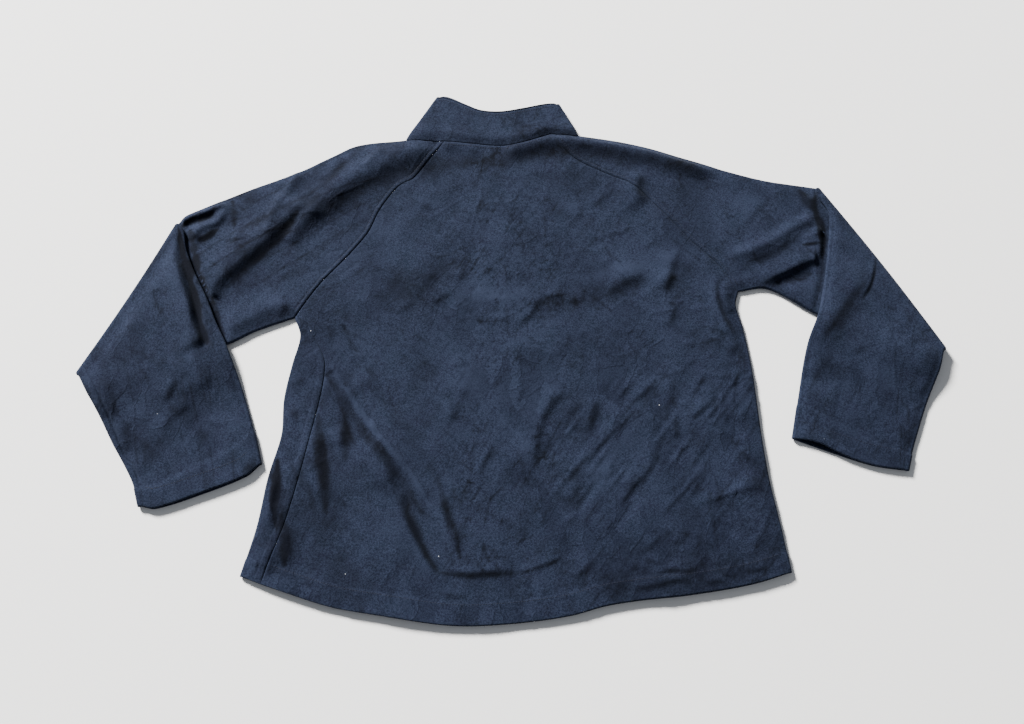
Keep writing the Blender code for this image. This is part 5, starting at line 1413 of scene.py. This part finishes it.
# %% The sleeves
UPPER_ARM_COUNT = 132
ELBOW_COUNT = 12
FOREARM_COUNT = 90
ARMHOLE_COUNT = 111
NECK_END_COUNT = 18
ARM_LENGTH = 320.0
FOREARM_LENGTH = 210.0
ARM_ROWS = graded(UPPER_ARM_COUNT, first=[d / ARM_LENGTH for d in (0.9, 1.9, 3.0, 4.4, 5.6, 6.8, 8.4)])
CUFF_ROWS = [d / FOREARM_LENGTH for d in (0.5, 1.4, 3.0)]
INSIDE_ARM = {name: (sideways * 350.0, 130.0) for name, sideways in SIDES}
INSIDE_FOREARM = {name: (sideways * 455.0, -60.0) for name, sideways in SIDES}
MOUTH_DEPTH = {"left": 1.5, "right": 7.0}
MOUTH_RISE = {"left": 0.8, "right": 3.0}
MOUTH_CENTRE = {"left": 0.5, "right": 0.84}
MOUTH_WIDTH = {"left": 0.6, "right": 0.22}


def neck_centre(name):
    """Where the shoulder's and the collar's rounded edges meet, inside the outline."""
    return np.array(NECK_CORNER[name], float) + (-3.0 * SIDEWAYS[name], -2.4)


def neck_out(name):
    """The outward direction at that place."""
    return np.array([0.62 * SIDEWAYS[name], 0.785])


def armhole(name, raglan):
    """A sleeve's upper edge on one layer: up the raglan seam, then along the neck."""
    seam = drawn(raglan[name], steps(ARMHOLE_COUNT))
    share = steps(NECK_END_COUNT)[1:, None]
    return np.vstack([seam, seam[-1] * (1 - share) + neck_centre(name) * share])


def tube_rings(top_plan, top_z, low_plan, low_z, low_out, high_out):
    """Closed rings: the top layer, the high edge, the low layer and the low edge."""
    top, top_normals = flat_layer(top_plan, top_z)
    low, low_normals = flat_layer(low_plan, low_z)
    high_roll, high_normals = rolled_edge(top_plan[:, -1], low_plan[:, -1], top_z[:, -1],
                                          low_z[:, -1], high_out)
    low_roll, under_normals = rolled_edge(top_plan[:, 0], low_plan[:, 0], top_z[:, 0],
                                          low_z[:, 0], low_out)
    places = [top, high_roll[:, 1:], low[:, ::-1][:, 1:], low_roll[:, ::-1][:, 1:]]
    normals = [top_normals, high_normals[:, 1:], -low_normals[:, ::-1][:, 1:],
               under_normals[:, ::-1][:, 1:]]
    return np.concatenate(places, axis=1), np.concatenate(normals, axis=1)


def flip_rings(*grids):
    """The same rings with the low layer first, as the sleeve lies past its fold."""
    flipped = []
    for grid in grids:
        columns = (grid.shape[1] - 1 - 2 * ROLL_STEPS) // 2
        turned = grid[:, :-1][:, ::-1]
        start = turned.shape[1] - 1 - (2 * columns + ROLL_STEPS)
        turned = np.roll(turned, -start, axis=1)
        flipped.append(np.concatenate([turned, turned[:, :1]], axis=1))
    return flipped


def sleeve(name):
    """A whole sleeve: the upper arm's rings, the turn at the elbow and the forearm's rings."""
    low_edge = rim_centre(UNDERARM[name], ARM_ROWS, INSIDE_ARM[name])
    high_edge = rim_centre(SHOULDER[name], ARM_ROWS, INSIDE_ARM[name])
    low_edge[0] = BACK_RAGLAN[name][0]
    high_edge[0] = neck_centre(name)
    low_end = np.array(UNDERARM[name][-1], float)
    high_end = np.array(SHOULDER[name][-1], float)
    line = (high_end - low_end) / np.linalg.norm(high_end - low_end)
    fold_out = np.array([-line[1], line[0]])
    if fold_out[0] * SIDEWAYS[name] < 0:
        fold_out = -fold_out
    low_edge[-1] = low_end - fold_out * ELBOW_AXIS + line * RIM
    high_edge[-1] = high_end - fold_out * ELBOW_AXIS - line * RIM

    back_edge = armhole(name, BACK_RAGLAN)
    front_edge = armhole(name, FRONT_RAGLAN)
    across = shares(back_edge)[:, None]
    fold_line = low_edge[-1] * (1 - across) + high_edge[-1] * across
    top_plan = trimmed(fill(back_edge, fold_line, low_edge, high_edge), ["bottom"])
    low_plan = trimmed(fill(front_edge, fold_line, low_edge, high_edge), ["bottom"])
    near_fold = smoothstep(ARM_ROWS, 0.955, 1.0)[:, None]
    top_z = upper_height(top_plan[..., 0], top_plan[..., 1])
    top_z = top_z * (1 - near_fold) + (WALL / 2 + ELBOW_SPACING) * near_fold
    low_z = np.full(low_plan.shape[:2], WALL / 2)
    low_out = outward(low_edge, INSIDE_ARM[name])
    high_out = outward(high_edge, INSIDE_ARM[name])
    low_out[0], low_out[-1] = armpit_out(name), -line
    high_out[0], high_out[-1] = neck_out(name), line
    ring, ring_normals = tube_rings(top_plan, top_z, low_plan, low_z, low_out, high_out)

    last, last_normal = ring[-1], ring_normals[-1]
    level = ELBOW_AXIS - last[:, 2]
    share = (last[:, :2] - low_edge[-1]) @ line / np.linalg.norm(high_edge[-1] - low_edge[-1])
    bow = ELBOW_BOW[name] * np.sin(math.pi * np.clip(share, 0, 1))
    turns, turn_normals = [ring], [ring_normals]
    for step in range(1, ELBOW_COUNT + 1):
        angle = math.pi * step / ELBOW_COUNT
        turned = np.zeros(last.shape)
        turned[:, :2] = last[:, :2] + fold_out * ((level + bow) * math.sin(angle))[:, None]
        turned[:, 2] = ELBOW_AXIS - level * math.cos(angle)
        normal = last_normal.copy()
        normal[:, :2] -= fold_out * (last_normal[:, 2] * math.sin(angle))[:, None]
        normal[:, 2] = last_normal[:, 2] * math.cos(angle)
        turns.append(turned[None])
        turn_normals.append(normal[None])

    over, over_normals, over_walls = forearm(name, top_plan[-1], across, line)
    ring = np.concatenate(turns + [over[1:]])
    ring_normals = np.concatenate(turn_normals + [over_normals[1:]])
    walls = np.full(ring.shape[:2], WALL)
    walls[-len(over_walls):] = over_walls[:, None]
    return cloth_of(ring, ring_normals, walls).build("sleeve_cloth_" + name, fleece)


def forearm(name, start, across, line):
    """The forearm's rings, from the elbow fold to the cuff."""
    rows = graded(FOREARM_COUNT, last=CUFF_ROWS)
    outer = rim_centre(FOREARM_OUTER[name], rows, INSIDE_FOREARM[name])
    inner = rim_centre(FOREARM_INNER[name], rows, INSIDE_FOREARM[name])
    outer = outer + (start[0] - outer[0]) * (1 - smoothstep(rows, 0.0, 0.20))[:, None]
    inner = inner + (start[-1] - inner[0]) * (1 - smoothstep(rows, 0.0, 0.14))[:, None]
    cuff_line = fit_ends(drawn(CUFF[name], across[:, 0]), outer[-1], inner[-1])
    plan = fill(start, cuff_line, outer, inner)
    lift = forearm_lift(name, plan[..., 0], plan[..., 1])
    to_cuff = np.linalg.norm(plan - plan[-1:], axis=2)
    length = (1 - rows) * FOREARM_LENGTH
    walls = WALL + (HEM_WALL - WALL) * (1 - smoothstep(length, CUFF_DEPTH - 2, CUFF_DEPTH + 1))
    base = walls[:, None] / 2
    settle = smoothstep(rows, 0.0, 0.16)[:, None]
    low_z = (base + lift) * settle + (2 * ELBOW_AXIS - WALL / 2 - ELBOW_SPACING) * (1 - settle)
    shape = forearm_shape(name, plan[..., 0], plan[..., 1])
    edge_gap = np.minimum(np.linalg.norm(plan - outer[:, None], axis=2),
                          np.linalg.norm(plan - inner[:, None], axis=2))
    shape = shape - EDGE_DROP * np.exp(-(edge_gap / FOREARM_EDGE_DROP_WIDTH)**2)
    top_z = LAY_HEIGHT + lift + shape
    top_z = top_z * settle + (2 * ELBOW_AXIS - WALL / 2) * (1 - settle)
    at_mouth = (np.exp(-((across[:, 0] - MOUTH_CENTRE[name]) / MOUTH_WIDTH[name])**2)[None]
                * np.sin(math.pi * across[:, 0])[None]**0.5
                * smoothstep(-to_cuff, -22.0, 0.0))
    up_arm = plan[-8] - plan[-1]
    up_arm = up_arm / np.linalg.norm(up_arm, axis=1)[:, None]
    top_plan = plan + up_arm[None] * (MOUTH_DEPTH[name] * at_mouth)[..., None]
    top_z = top_z + MOUTH_RISE[name] * at_mouth
    thinnest = np.maximum(walls + 0.2, HEM_WALL * smoothstep(-length, -60.0, -30.0))[:, None]
    top_z = low_z + soft_floor(top_z - low_z, thinnest)
    outer_out = outward(outer, INSIDE_FOREARM[name])
    inner_out = outward(inner, INSIDE_FOREARM[name])
    outer_out[0], inner_out[0] = -line, line
    over, over_normals = flip_rings(*tube_rings(top_plan, top_z, plan, low_z, outer_out, inner_out))
    walls[-3:] = np.array(WALL_SHARE_AT_EDGE[::-1]) * HEM_WALL
    return over, over_normals, walls[1:]


sleeve_cloth = {name: sleeve(name) for name, _ in SIDES}

# %% [markdown]
# ## Collar
# The collar is a band of doubled cloth, sewn to the neck edge and folded flat with the
# garment. Its lower edge follows the raised cloth of the shoulders, and its top edge is
# rounded where the two layers meet.

# %% The collar
COLLAR_COUNT = 30
COLLAR_BACK_COUNT = 90
COLLAR_TURN_COUNT = 6
COLLAR_FRONT_COUNT = 48
COLLAR_ROWS = graded(COLLAR_COUNT, first=(0.012, 0.035),
                     last=(0.006, 0.018, 0.028, 0.038, 0.048, 0.058, 0.070, 0.088))
COLLAR_ZIP_RIDGE = 0.8
COLLAR_TOP_WALLS = np.array((0.97, 0.86, 0.62, 0.28))
COLLAR_SEAM_WALLS = (0.55, 0.85)


def out_toward(first, low, high, share):
    """The outward direction of the collar's folded side, from the neck seam up."""
    run = (high - low) / np.linalg.norm(high - low)
    square = np.array([-run[1], run[0]])
    if square @ first < 0:
        square = -square
    out = first * max(0.0, 1 - 4 * share) + square * min(1.0, 4 * share)
    return out / np.linalg.norm(out)


def collar():
    """The collar as one grid: front left, round the back and front right, from the seam up."""
    front_low, front_high, side_low, side_high = {}, {}, {}, {}
    back_top = smooth_curve(COLLAR_TOP)
    for name, sideways in SIDES:
        centre = neck_centre(name)
        top_corner = np.array(COLLAR_FRONT_TOP[name][0], float) + (-sideways * 4.5, -2.0)
        front_neck = drawn(FRONT_NECK[name], steps(COLLAR_FRONT_COUNT))
        front_neck[-1, 0] = ZIP_X + sideways * SLIT_WIDTH / 2
        turn_low = along(np.array([centre, FRONT_NECK[name][0]], float), steps(COLLAR_TURN_COUNT))
        front_low[name] = np.vstack([turn_low, front_neck[1:]])
        curve = smooth_curve(COLLAR_FRONT_TOP[name])
        curve = np.vstack([top_corner, curve[6:]])
        front_high[name] = along(curve, shares(front_low[name]))
        front_high[name][-1, 0] = ZIP_X + sideways * SLIT_WIDTH / 2
        side_low[name], side_high[name] = centre, top_corner
    neck = drawn(BACK_NECK, steps(COLLAR_BACK_COUNT))
    left_turn = along(np.array([side_low["left"], neck[0]]), steps(COLLAR_TURN_COUNT))
    right_turn = along(np.array([neck[-1], side_low["right"]]), steps(COLLAR_TURN_COUNT))
    back_low = np.vstack([left_turn, neck[1:], right_turn[1:]])
    inner_top = back_top[(back_top[:, 0] > side_high["left"][0] + 4)
                         & (back_top[:, 0] < side_high["right"][0] - 4)]
    inner_top = np.vstack([side_high["left"], inner_top, side_high["right"]])
    back_high = along(inner_top, shares(back_low))
    seam_rise = upper_height(back_low[:, 0], back_low[:, 1]) - LAY_HEIGHT
    rings, ring_normals = [], []
    shift = np.array([0.0, SEAM_GAP / 2])
    for share in COLLAR_ROWS:
        top_row = (back_low + shift) * (1 - share) + back_high * share
        low_left = (front_low["left"] + shift) * (1 - share) + front_high["left"] * share
        low_right = (front_low["right"] + shift) * (1 - share) + front_high["right"] * share
        zip_bump = COLLAR_ZIP_RIDGE * np.exp(-((top_row[:, 0] - ZIP_X) / ZIP_SPREAD)**2)
        follow = 1 - smoothstep(share, 0.0, 0.55)
        base = LAY_HEIGHT + (COLLAR_HEIGHT - LAY_HEIGHT) * smoothstep(share, 0.0, 0.22)
        top_z = base + zip_bump * smoothstep(share, 0.0, 0.22) + seam_rise * follow
        top_z = top_z + collar_shape(top_row, share)
        low_z = np.full(len(low_left), COLLAR_WALL / 2)
        row, normal = flat_layer(top_row[None], top_z[None])
        parts, part_normals = [row[0]], [normal[0]]
        for name, place, layer in (("left", slice(0, 1), low_left), ("right", slice(-1, None), low_right)):
            out = out_toward(neck_out(name), side_low[name], side_high[name], share)
            roll, roll_normal = rolled_edge(top_row[place], layer[:1], top_z[place], low_z[:1],
                                            out[None])
            under, under_normal = flat_layer(layer[None], low_z[None])
            if name == "left":
                parts = [under[0][::-1], roll[0][::-1][1:], parts[0][1:]]
                part_normals = [-under_normal[0], roll_normal[0][::-1][1:], part_normals[0][1:]]
            else:
                parts += [roll[0][1:], under[0][1:]]
                part_normals += [roll_normal[0][1:], -under_normal[0][1:]]
        rings.append(np.concatenate(parts))
        ring_normals.append(np.concatenate(part_normals))
    ring = np.array(rings)
    walls = np.full(ring.shape[:2], COLLAR_WALL)
    walls[-4:] = (COLLAR_WALL * COLLAR_TOP_WALLS)[:, None]
    for row, share in enumerate(COLLAR_SEAM_WALLS):
        walls[row] = COLLAR_WALL * share
    return cloth_of(ring, np.array(ring_normals), walls).build("collar_cloth", fleece)


def collar_shape(row, share):
    """The collar's slight hollows, its stitched groove and the turn of its top edge."""
    x, y = row[:, 0], row[:, 1]
    groove = -math.exp(-((share - 0.952) / 0.013)**2) - 0.35 * math.exp(-((share - 0.05) / 0.02)**2)
    soft = (0.7 * lumps(x, y, 42.0, 21) + 0.3 * lumps(x, y, 16.0, 22)) * math.sin(math.pi * share)
    return soft + groove


collar_cloth = collar()

# %% [markdown]
# ## Stitching
# The hem and the cuffs are held by a row of stitches, and so are the collar's top edge,
# the turned seams of the shoulders and neck and the cloth beside the zip. One stitch is
# modelled and repeated along each row, laid on the cloth's surface.

# %% Stitches
THREAD = (0.0105, 0.0130, 0.0270, 1.0)
THREAD_DEEP = (0.0040, 0.0052, 0.0120, 1.0)
STITCH_SIZE = (2.8, 0.75, 0.55)
STITCH_SPACING = 3.5
COLLAR_ROW = 7.0
ZIP_ROW_GAP = 2.0
ZIP_ROW_BOTTOM = SLIT_BOTTOM - 4.0
ZIP_ROW_TOP = 239.0
ABOVE = 60.0
BELOW = -20.0


def thread_finish():
    """Twisted navy thread."""
    material, tree, shader = new_finish("navy_thread")
    place = add(tree, "ShaderNodeTexCoord").outputs["Object"]
    twist = noise(tree, place, 900.0, 2.0, 0.6)
    tree.links.new(mix_colour(tree, remap(tree, twist, 0.35, 0.65), THREAD_DEEP, THREAD),
                   shader.inputs["Base Color"])
    tree.links.new(bump(tree, twist, 0.0002, 0.6), shader.inputs["Normal"])
    shader.inputs["Roughness"].default_value = 0.7
    shader.inputs["Specular IOR Level"].default_value = 0.2
    return material


def one_stitch():
    """A stitch: a small long rounded shape, made once and repeated."""
    bpy.ops.object.select_all(action="DESELECT")
    bpy.ops.mesh.primitive_uv_sphere_add(segments=8, ring_count=5, radius=0.5)
    shape = bpy.context.object
    bpy.ops.object.mode_set(mode="EDIT")
    bpy.ops.mesh.select_all(action="SELECT")
    bpy.ops.transform.rotate(value=math.pi / 2, orient_axis="Y", center_override=(0.0, 0.0, 0.0))
    bpy.ops.transform.resize(value=STITCH_SIZE, center_override=(0.0, 0.0, 0.0))
    bpy.ops.object.mode_set(mode="OBJECT")
    return taken_apart(shape)


def taken_apart(shape):
    """The points and faces of a modelled shape, which is then removed."""
    points = np.array([v.co[:] for v in shape.data.vertices])
    faces = [tuple(p.vertices) for p in shape.data.polygons]
    bpy.data.objects.remove(shape)
    return points, faces


def repeated(name, points, faces, places, axes, material):
    """One piece of many copies of a shape, each at a place and along its own axes."""
    vertices = np.concatenate([place + points @ turn for place, turn in zip(places, axes)])
    count = len(points)
    all_faces = [tuple(i + count * copy for i in face) for copy in range(len(places)) for face in faces]
    return new_object(name, vertices, all_faces, material)


def surface(piece):
    """A cloth piece made ready for finding its surface under a place."""
    return BVHTree.FromPolygons([v.co[:] for v in piece.data.vertices],
                                [tuple(p.vertices) for p in piece.data.polygons])


def seam_row(name):
    """The line of the stitches that hold down a seam's turned edges."""
    curve = SEAM_CURVES[name]
    side, width = SEAMS[name][:2]
    run = np.gradient(curve, axis=0)
    run = run / np.linalg.norm(run, axis=1)[:, None]
    return curve + side * (width + DENT_BEYOND) * np.stack([-run[:, 1], run[:, 0]], axis=1)


def stitched(cloth, curve, first, last, under):
    """Places and axes of one row of stitches between two shares of a curve on a cloth."""
    length = np.hypot(*np.diff(curve, axis=0).T).sum() * (last - first)
    row = along(curve, np.linspace(first, last, int(length / STITCH_SPACING) + 1))
    found = []
    for x, y in row:
        start = (x * MM, y * MM, (BELOW if under else ABOVE) * MM)
        hit, normal, _, _ = cloth.ray_cast(start, (0.0, 0.0, 1.0 if under else -1.0))
        if hit is not None:
            found.append((np.array(hit) / MM, np.array(normal)))
    places, axes = [], []
    for k, (place, normal) in enumerate(found):
        ahead = found[min(k + 1, len(found) - 1)][0] - found[max(k - 1, 0)][0]
        if np.linalg.norm(ahead) > 3 * STITCH_SPACING:
            continue
        across = np.cross(normal, ahead)
        across = across / np.linalg.norm(across)
        ahead = np.cross(across, normal)
        places.append(place)
        axes.append(np.array([ahead / np.linalg.norm(ahead), across, normal]))
    return places, axes


thread = thread_finish()
stitch_points, stitch_faces = one_stitch()
surfaces = {"back": surface(back_cloth), "front": surface(front_cloth), "collar": surface(collar_cloth),
            "left": surface(sleeve_cloth["left"]), "right": surface(sleeve_cloth["right"])}
cuff_rows = {name: inset(smooth_curve(CUFF[name]), INSIDE_FOREARM[name], HEM_ROW + 1.0)
             for name, _ in SIDES}
collar_row = inset(smooth_curve(COLLAR_TOP), (-20.0, 300.0), COLLAR_ROW)
beside_zip = [ZIP_X + sideways * (SLIT_WIDTH / 2 + ZIP_ROW_GAP) for _, sideways in SIDES]
zip_rows = [np.array([(x, ZIP_ROW_BOTTOM), (x, ZIP_ROW_TOP)]) for x in beside_zip]
zip_rows.append(np.array([(x, ZIP_ROW_BOTTOM) for x in beside_zip]))
# the cloth, the line, the shares of it where the row begins and ends, and if it is underneath
STITCHING = {
    "hem_stitches_back": [("back", HEM_ROW_CURVE, 0.05, 0.985, False)],
    "hem_stitches_front": [("front", HEM_ROW_CURVE, 0.02, 0.94, True)],
    "cuff_stitches_left": [("left", cuff_rows["left"], 0.03, 0.97, under) for under in (False, True)],
    "cuff_stitches_right": [("right", cuff_rows["right"], 0.03, 0.97, under) for under in (False, True)],
    "shoulder_stitches_left": [("left", seam_row("raglan_left"), 0.02, 0.97, False)],
    "shoulder_stitches_right": [("right", seam_row("raglan_right"), 0.02, 0.97, False)],
    "neck_stitches": [("back", seam_row("neck"), 0.02, 0.98, False)],
    "collar_stitches": [("collar", collar_row, 0.04, 0.96, False)],
    "zip_stitches": [("front", row, 0.01, 0.99, True) for row in zip_rows],
}
for name, rows in STITCHING.items():
    places, axes = [], []
    for cloth, *row in rows:
        row_places, row_axes = stitched(surfaces[cloth], *row)
        places += row_places
        axes += row_axes
    row_piece = repeated(name, stitch_points, stitch_faces, places, axes, thread)
    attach(row_piece, "garment")
    print(name, len(places), "stitches")

# %% [markdown]
# ## Zip
# The zip lies between the layers behind the slit: two woven tapes with a thick edge,
# two rows of small teeth that mesh, a bottom stop, and a slider with its pull tab.

# %% Zip finishes
TAPE_DARK = (0.0060, 0.0072, 0.0130, 1.0)
TAPE_LIGHT = (0.0160, 0.0190, 0.0320, 1.0)
PLASTIC = (0.0140, 0.0160, 0.0240, 1.0)
PLASTIC_WORN = (0.0300, 0.0330, 0.0420, 1.0)
METAL = (0.085, 0.088, 0.095, 1.0)
METAL_WORN = (0.30, 0.30, 0.31, 1.0)


def tape_finish():
    """Twill: fine slanted ribs, woven in two navy threads."""
    material, tree, shader = new_finish("woven_tape")
    place = add(tree, "ShaderNodeTexCoord").outputs["Object"]
    ribs = add(tree, "ShaderNodeTexWave", {"Vector": place, "Scale": 420.0, "Distortion": 0.6,
                                           "Detail": 1.0}, bands_direction="DIAGONAL")
    threads = noise(tree, place, 1500.0, 2.0, 0.5)
    base = mix_colour(tree, remap(tree, ribs.outputs["Fac"], 0.2, 0.8), TAPE_DARK, TAPE_LIGHT)
    base = mix_colour(tree, remap(tree, threads, 0.3, 0.6, 0.5, 0.0), base, TAPE_DARK)
    tree.links.new(base, shader.inputs["Base Color"])
    tree.links.new(bump(tree, ribs.outputs["Fac"], 0.0002, 0.7), shader.inputs["Normal"])
    shader.inputs["Roughness"].default_value = 0.75
    shader.inputs["Specular IOR Level"].default_value = 0.2
    return material


def hard_finish(name, base_colour, worn_colour, metallic, rough):
    """Moulded or painted zip parts, worn lighter in patches, with fine scratches."""
    material, tree, shader = new_finish(name)
    place = add(tree, "ShaderNodeTexCoord").outputs["Object"]
    wear_and_painted_shade = noise(tree, place, 260.0, 4.0, 0.65)
    scratched = noise(tree, place, 1300.0, 2.0, 0.5)
    base = mix_colour(tree, remap(tree, wear_and_painted_shade, 0.50, 0.72, 0.0, 0.8), base_colour, worn_colour)
    tree.links.new(base, shader.inputs["Base Color"])
    tree.links.new(remap(tree, scratched, 0.3, 0.7, rough - 0.1, rough + 0.12),
                   shader.inputs["Roughness"])
    tree.links.new(bump(tree, scratched, 0.00004, 0.5), shader.inputs["Normal"])
    shader.inputs["Metallic"].default_value = metallic
    return material


tape_cloth = tape_finish()
tooth_plastic = hard_finish("tooth_plastic", PLASTIC, PLASTIC_WORN, 0.0, 0.38)
painted_metal = hard_finish("painted_metal", METAL, METAL_WORN, 0.9, 0.34)

# %% Zip tapes, teeth and metal parts
TAPE_WIDTH = 15.0
TAPE_INNER = 1.5         # from the centre of the zip to the tape's inner edge
TAPE_ENDS = (56.0, 313.0)
TAPE_MIDDLE = 5.1
TAPE_WALL = 0.7
CORD_RISE = 0.35
TEETH_ENDS = (67.0, 293.6)
TOOTH_PITCH = 1.3
TOOTH_SIZE = (1.55, 0.72, 1.5)
TOOTH_MIDDLE = (0.5, 4.55)
TOOTH_ROUNDING = 0.16
TOOTH_HEAD = 1.22        # the head's width beside the root's


def tape(name, sideways):
    """A tape: a flat strip of cloth with a corded inner edge."""
    across = TAPE_INNER + TAPE_WIDTH * np.array([0, .02, .05, .09, .14, .22, .4, .6, .8, .93, 1.0])
    up = np.linspace(*TAPE_ENDS, 130)
    cord = CORD_RISE * np.exp(-((across - TAPE_INNER - 0.8) / 0.7)**2)
    vertices, faces = [], []
    for y in up:
        waver = 0.12 * math.sin(y / 17.0) + 0.08 * math.sin(y / 5.3)
        for x, rise in zip(across, cord):
            vertices.append((ZIP_X + sideways * x, y, TAPE_MIDDLE + waver * 0.6 - rise))
    columns = len(across)
    for j in range(len(up) - 1):
        for i in range(columns - 1):
            k = j * columns + i
            face = (k, k + 1, k + columns + 1, k + columns)
            faces.append(face if sideways > 0 else face[::-1])
    piece = new_object(name, np.array(vertices), faces, tape_cloth)
    thick = piece.modifiers.new("wall", "SOLIDIFY")
    thick.thickness = TAPE_WALL * MM
    thick.offset = 0.0
    return piece


def one_tooth():
    """A tooth: a small block with rounded edges and a head that is a little wider."""
    bpy.ops.object.select_all(action="DESELECT")
    bpy.ops.mesh.primitive_cube_add(size=1.0)
    tooth = bpy.context.object
    bpy.ops.object.mode_set(mode="EDIT")
    bpy.ops.mesh.select_all(action="SELECT")
    bpy.ops.transform.resize(value=TOOTH_SIZE, center_override=(0.0, 0.0, 0.0))
    bpy.ops.mesh.bevel(offset=TOOTH_ROUNDING, segments=1, affect="EDGES")
    bpy.ops.object.mode_set(mode="OBJECT")
    for vertex in tooth.data.vertices:
        if vertex.co.x > 0:
            vertex.co.y *= TOOTH_HEAD
    return taken_apart(tooth)


tooth_points, tooth_faces = one_tooth()
for side, sideways in SIDES:
    tape_piece = tape("woven_tape_" + side, sideways)
    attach(tape_piece, "garment")
    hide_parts("zip_tape_" + side)
    start = TEETH_ENDS[0] + (TOOTH_PITCH / 2 if side == "right" else 0.0)
    along_zip = np.arange(start, TEETH_ENDS[1], TOOTH_PITCH)
    toward_middle = np.array([[-sideways, 0, 0], [0, -sideways, 0], [0, 0, 1.0]])
    places = [np.array([ZIP_X + sideways * TOOTH_MIDDLE[0], y, TOOTH_MIDDLE[1]]) for y in along_zip]
    teeth = repeated("zip_teeth_" + side, tooth_points, tooth_faces, places,
                     [toward_middle] * len(places), tooth_plastic)
    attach(teeth, "garment")
    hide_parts("zip_chain_" + side)
    print("tape and", len(places), "teeth", side)
for node, edge in (("zip_slider", 0.25), ("zip_pull_tab", 0.18), ("zip_bottom_stop", 0.2)):
    metal_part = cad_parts[node]
    for material_slot in metal_part.material_slots:
        material_slot.material = painted_metal
    rounded = metal_part.modifiers.new("rounded", "BEVEL")
    rounded.width = edge * MM
    rounded.segments = 2
    rounded.limit_method = "ANGLE"

# %% [markdown]
# ## What each piece stands for
# The cloth pieces take the place of the plain solids and move with the garment. The size
# of each sheet's flat cut is listed beside it.

# %% Riding, replacing and the cut sizes
CLOTH = {
    "back_panel": (back_cloth, (0.71, 0.70), 0.40, ["front_cloth"],
                   ["hem_stitches_back", "neck_stitches"]),
    "front_panel": (front_cloth, (0.71, 0.66), 0.40, ["floor"], ["hem_stitches_front", "zip_stitches"]),
    "sleeve_left": (sleeve_cloth["left"], (0.56, 0.62), 0.25, ["floor"],
                    ["cuff_stitches_left", "shoulder_stitches_left"]),
    "sleeve_right": (sleeve_cloth["right"], (0.56, 0.60), 0.25, ["floor"],
                     ["cuff_stitches_right", "shoulder_stitches_right"]),
    "collar": (collar_cloth, (0.42, 0.08), 0.032, ["front_cloth"], ["collar_stitches"]),
}
for node, (piece, flat, area, below, sewn_on) in CLOTH.items():
    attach(piece, "garment")
    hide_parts(node)
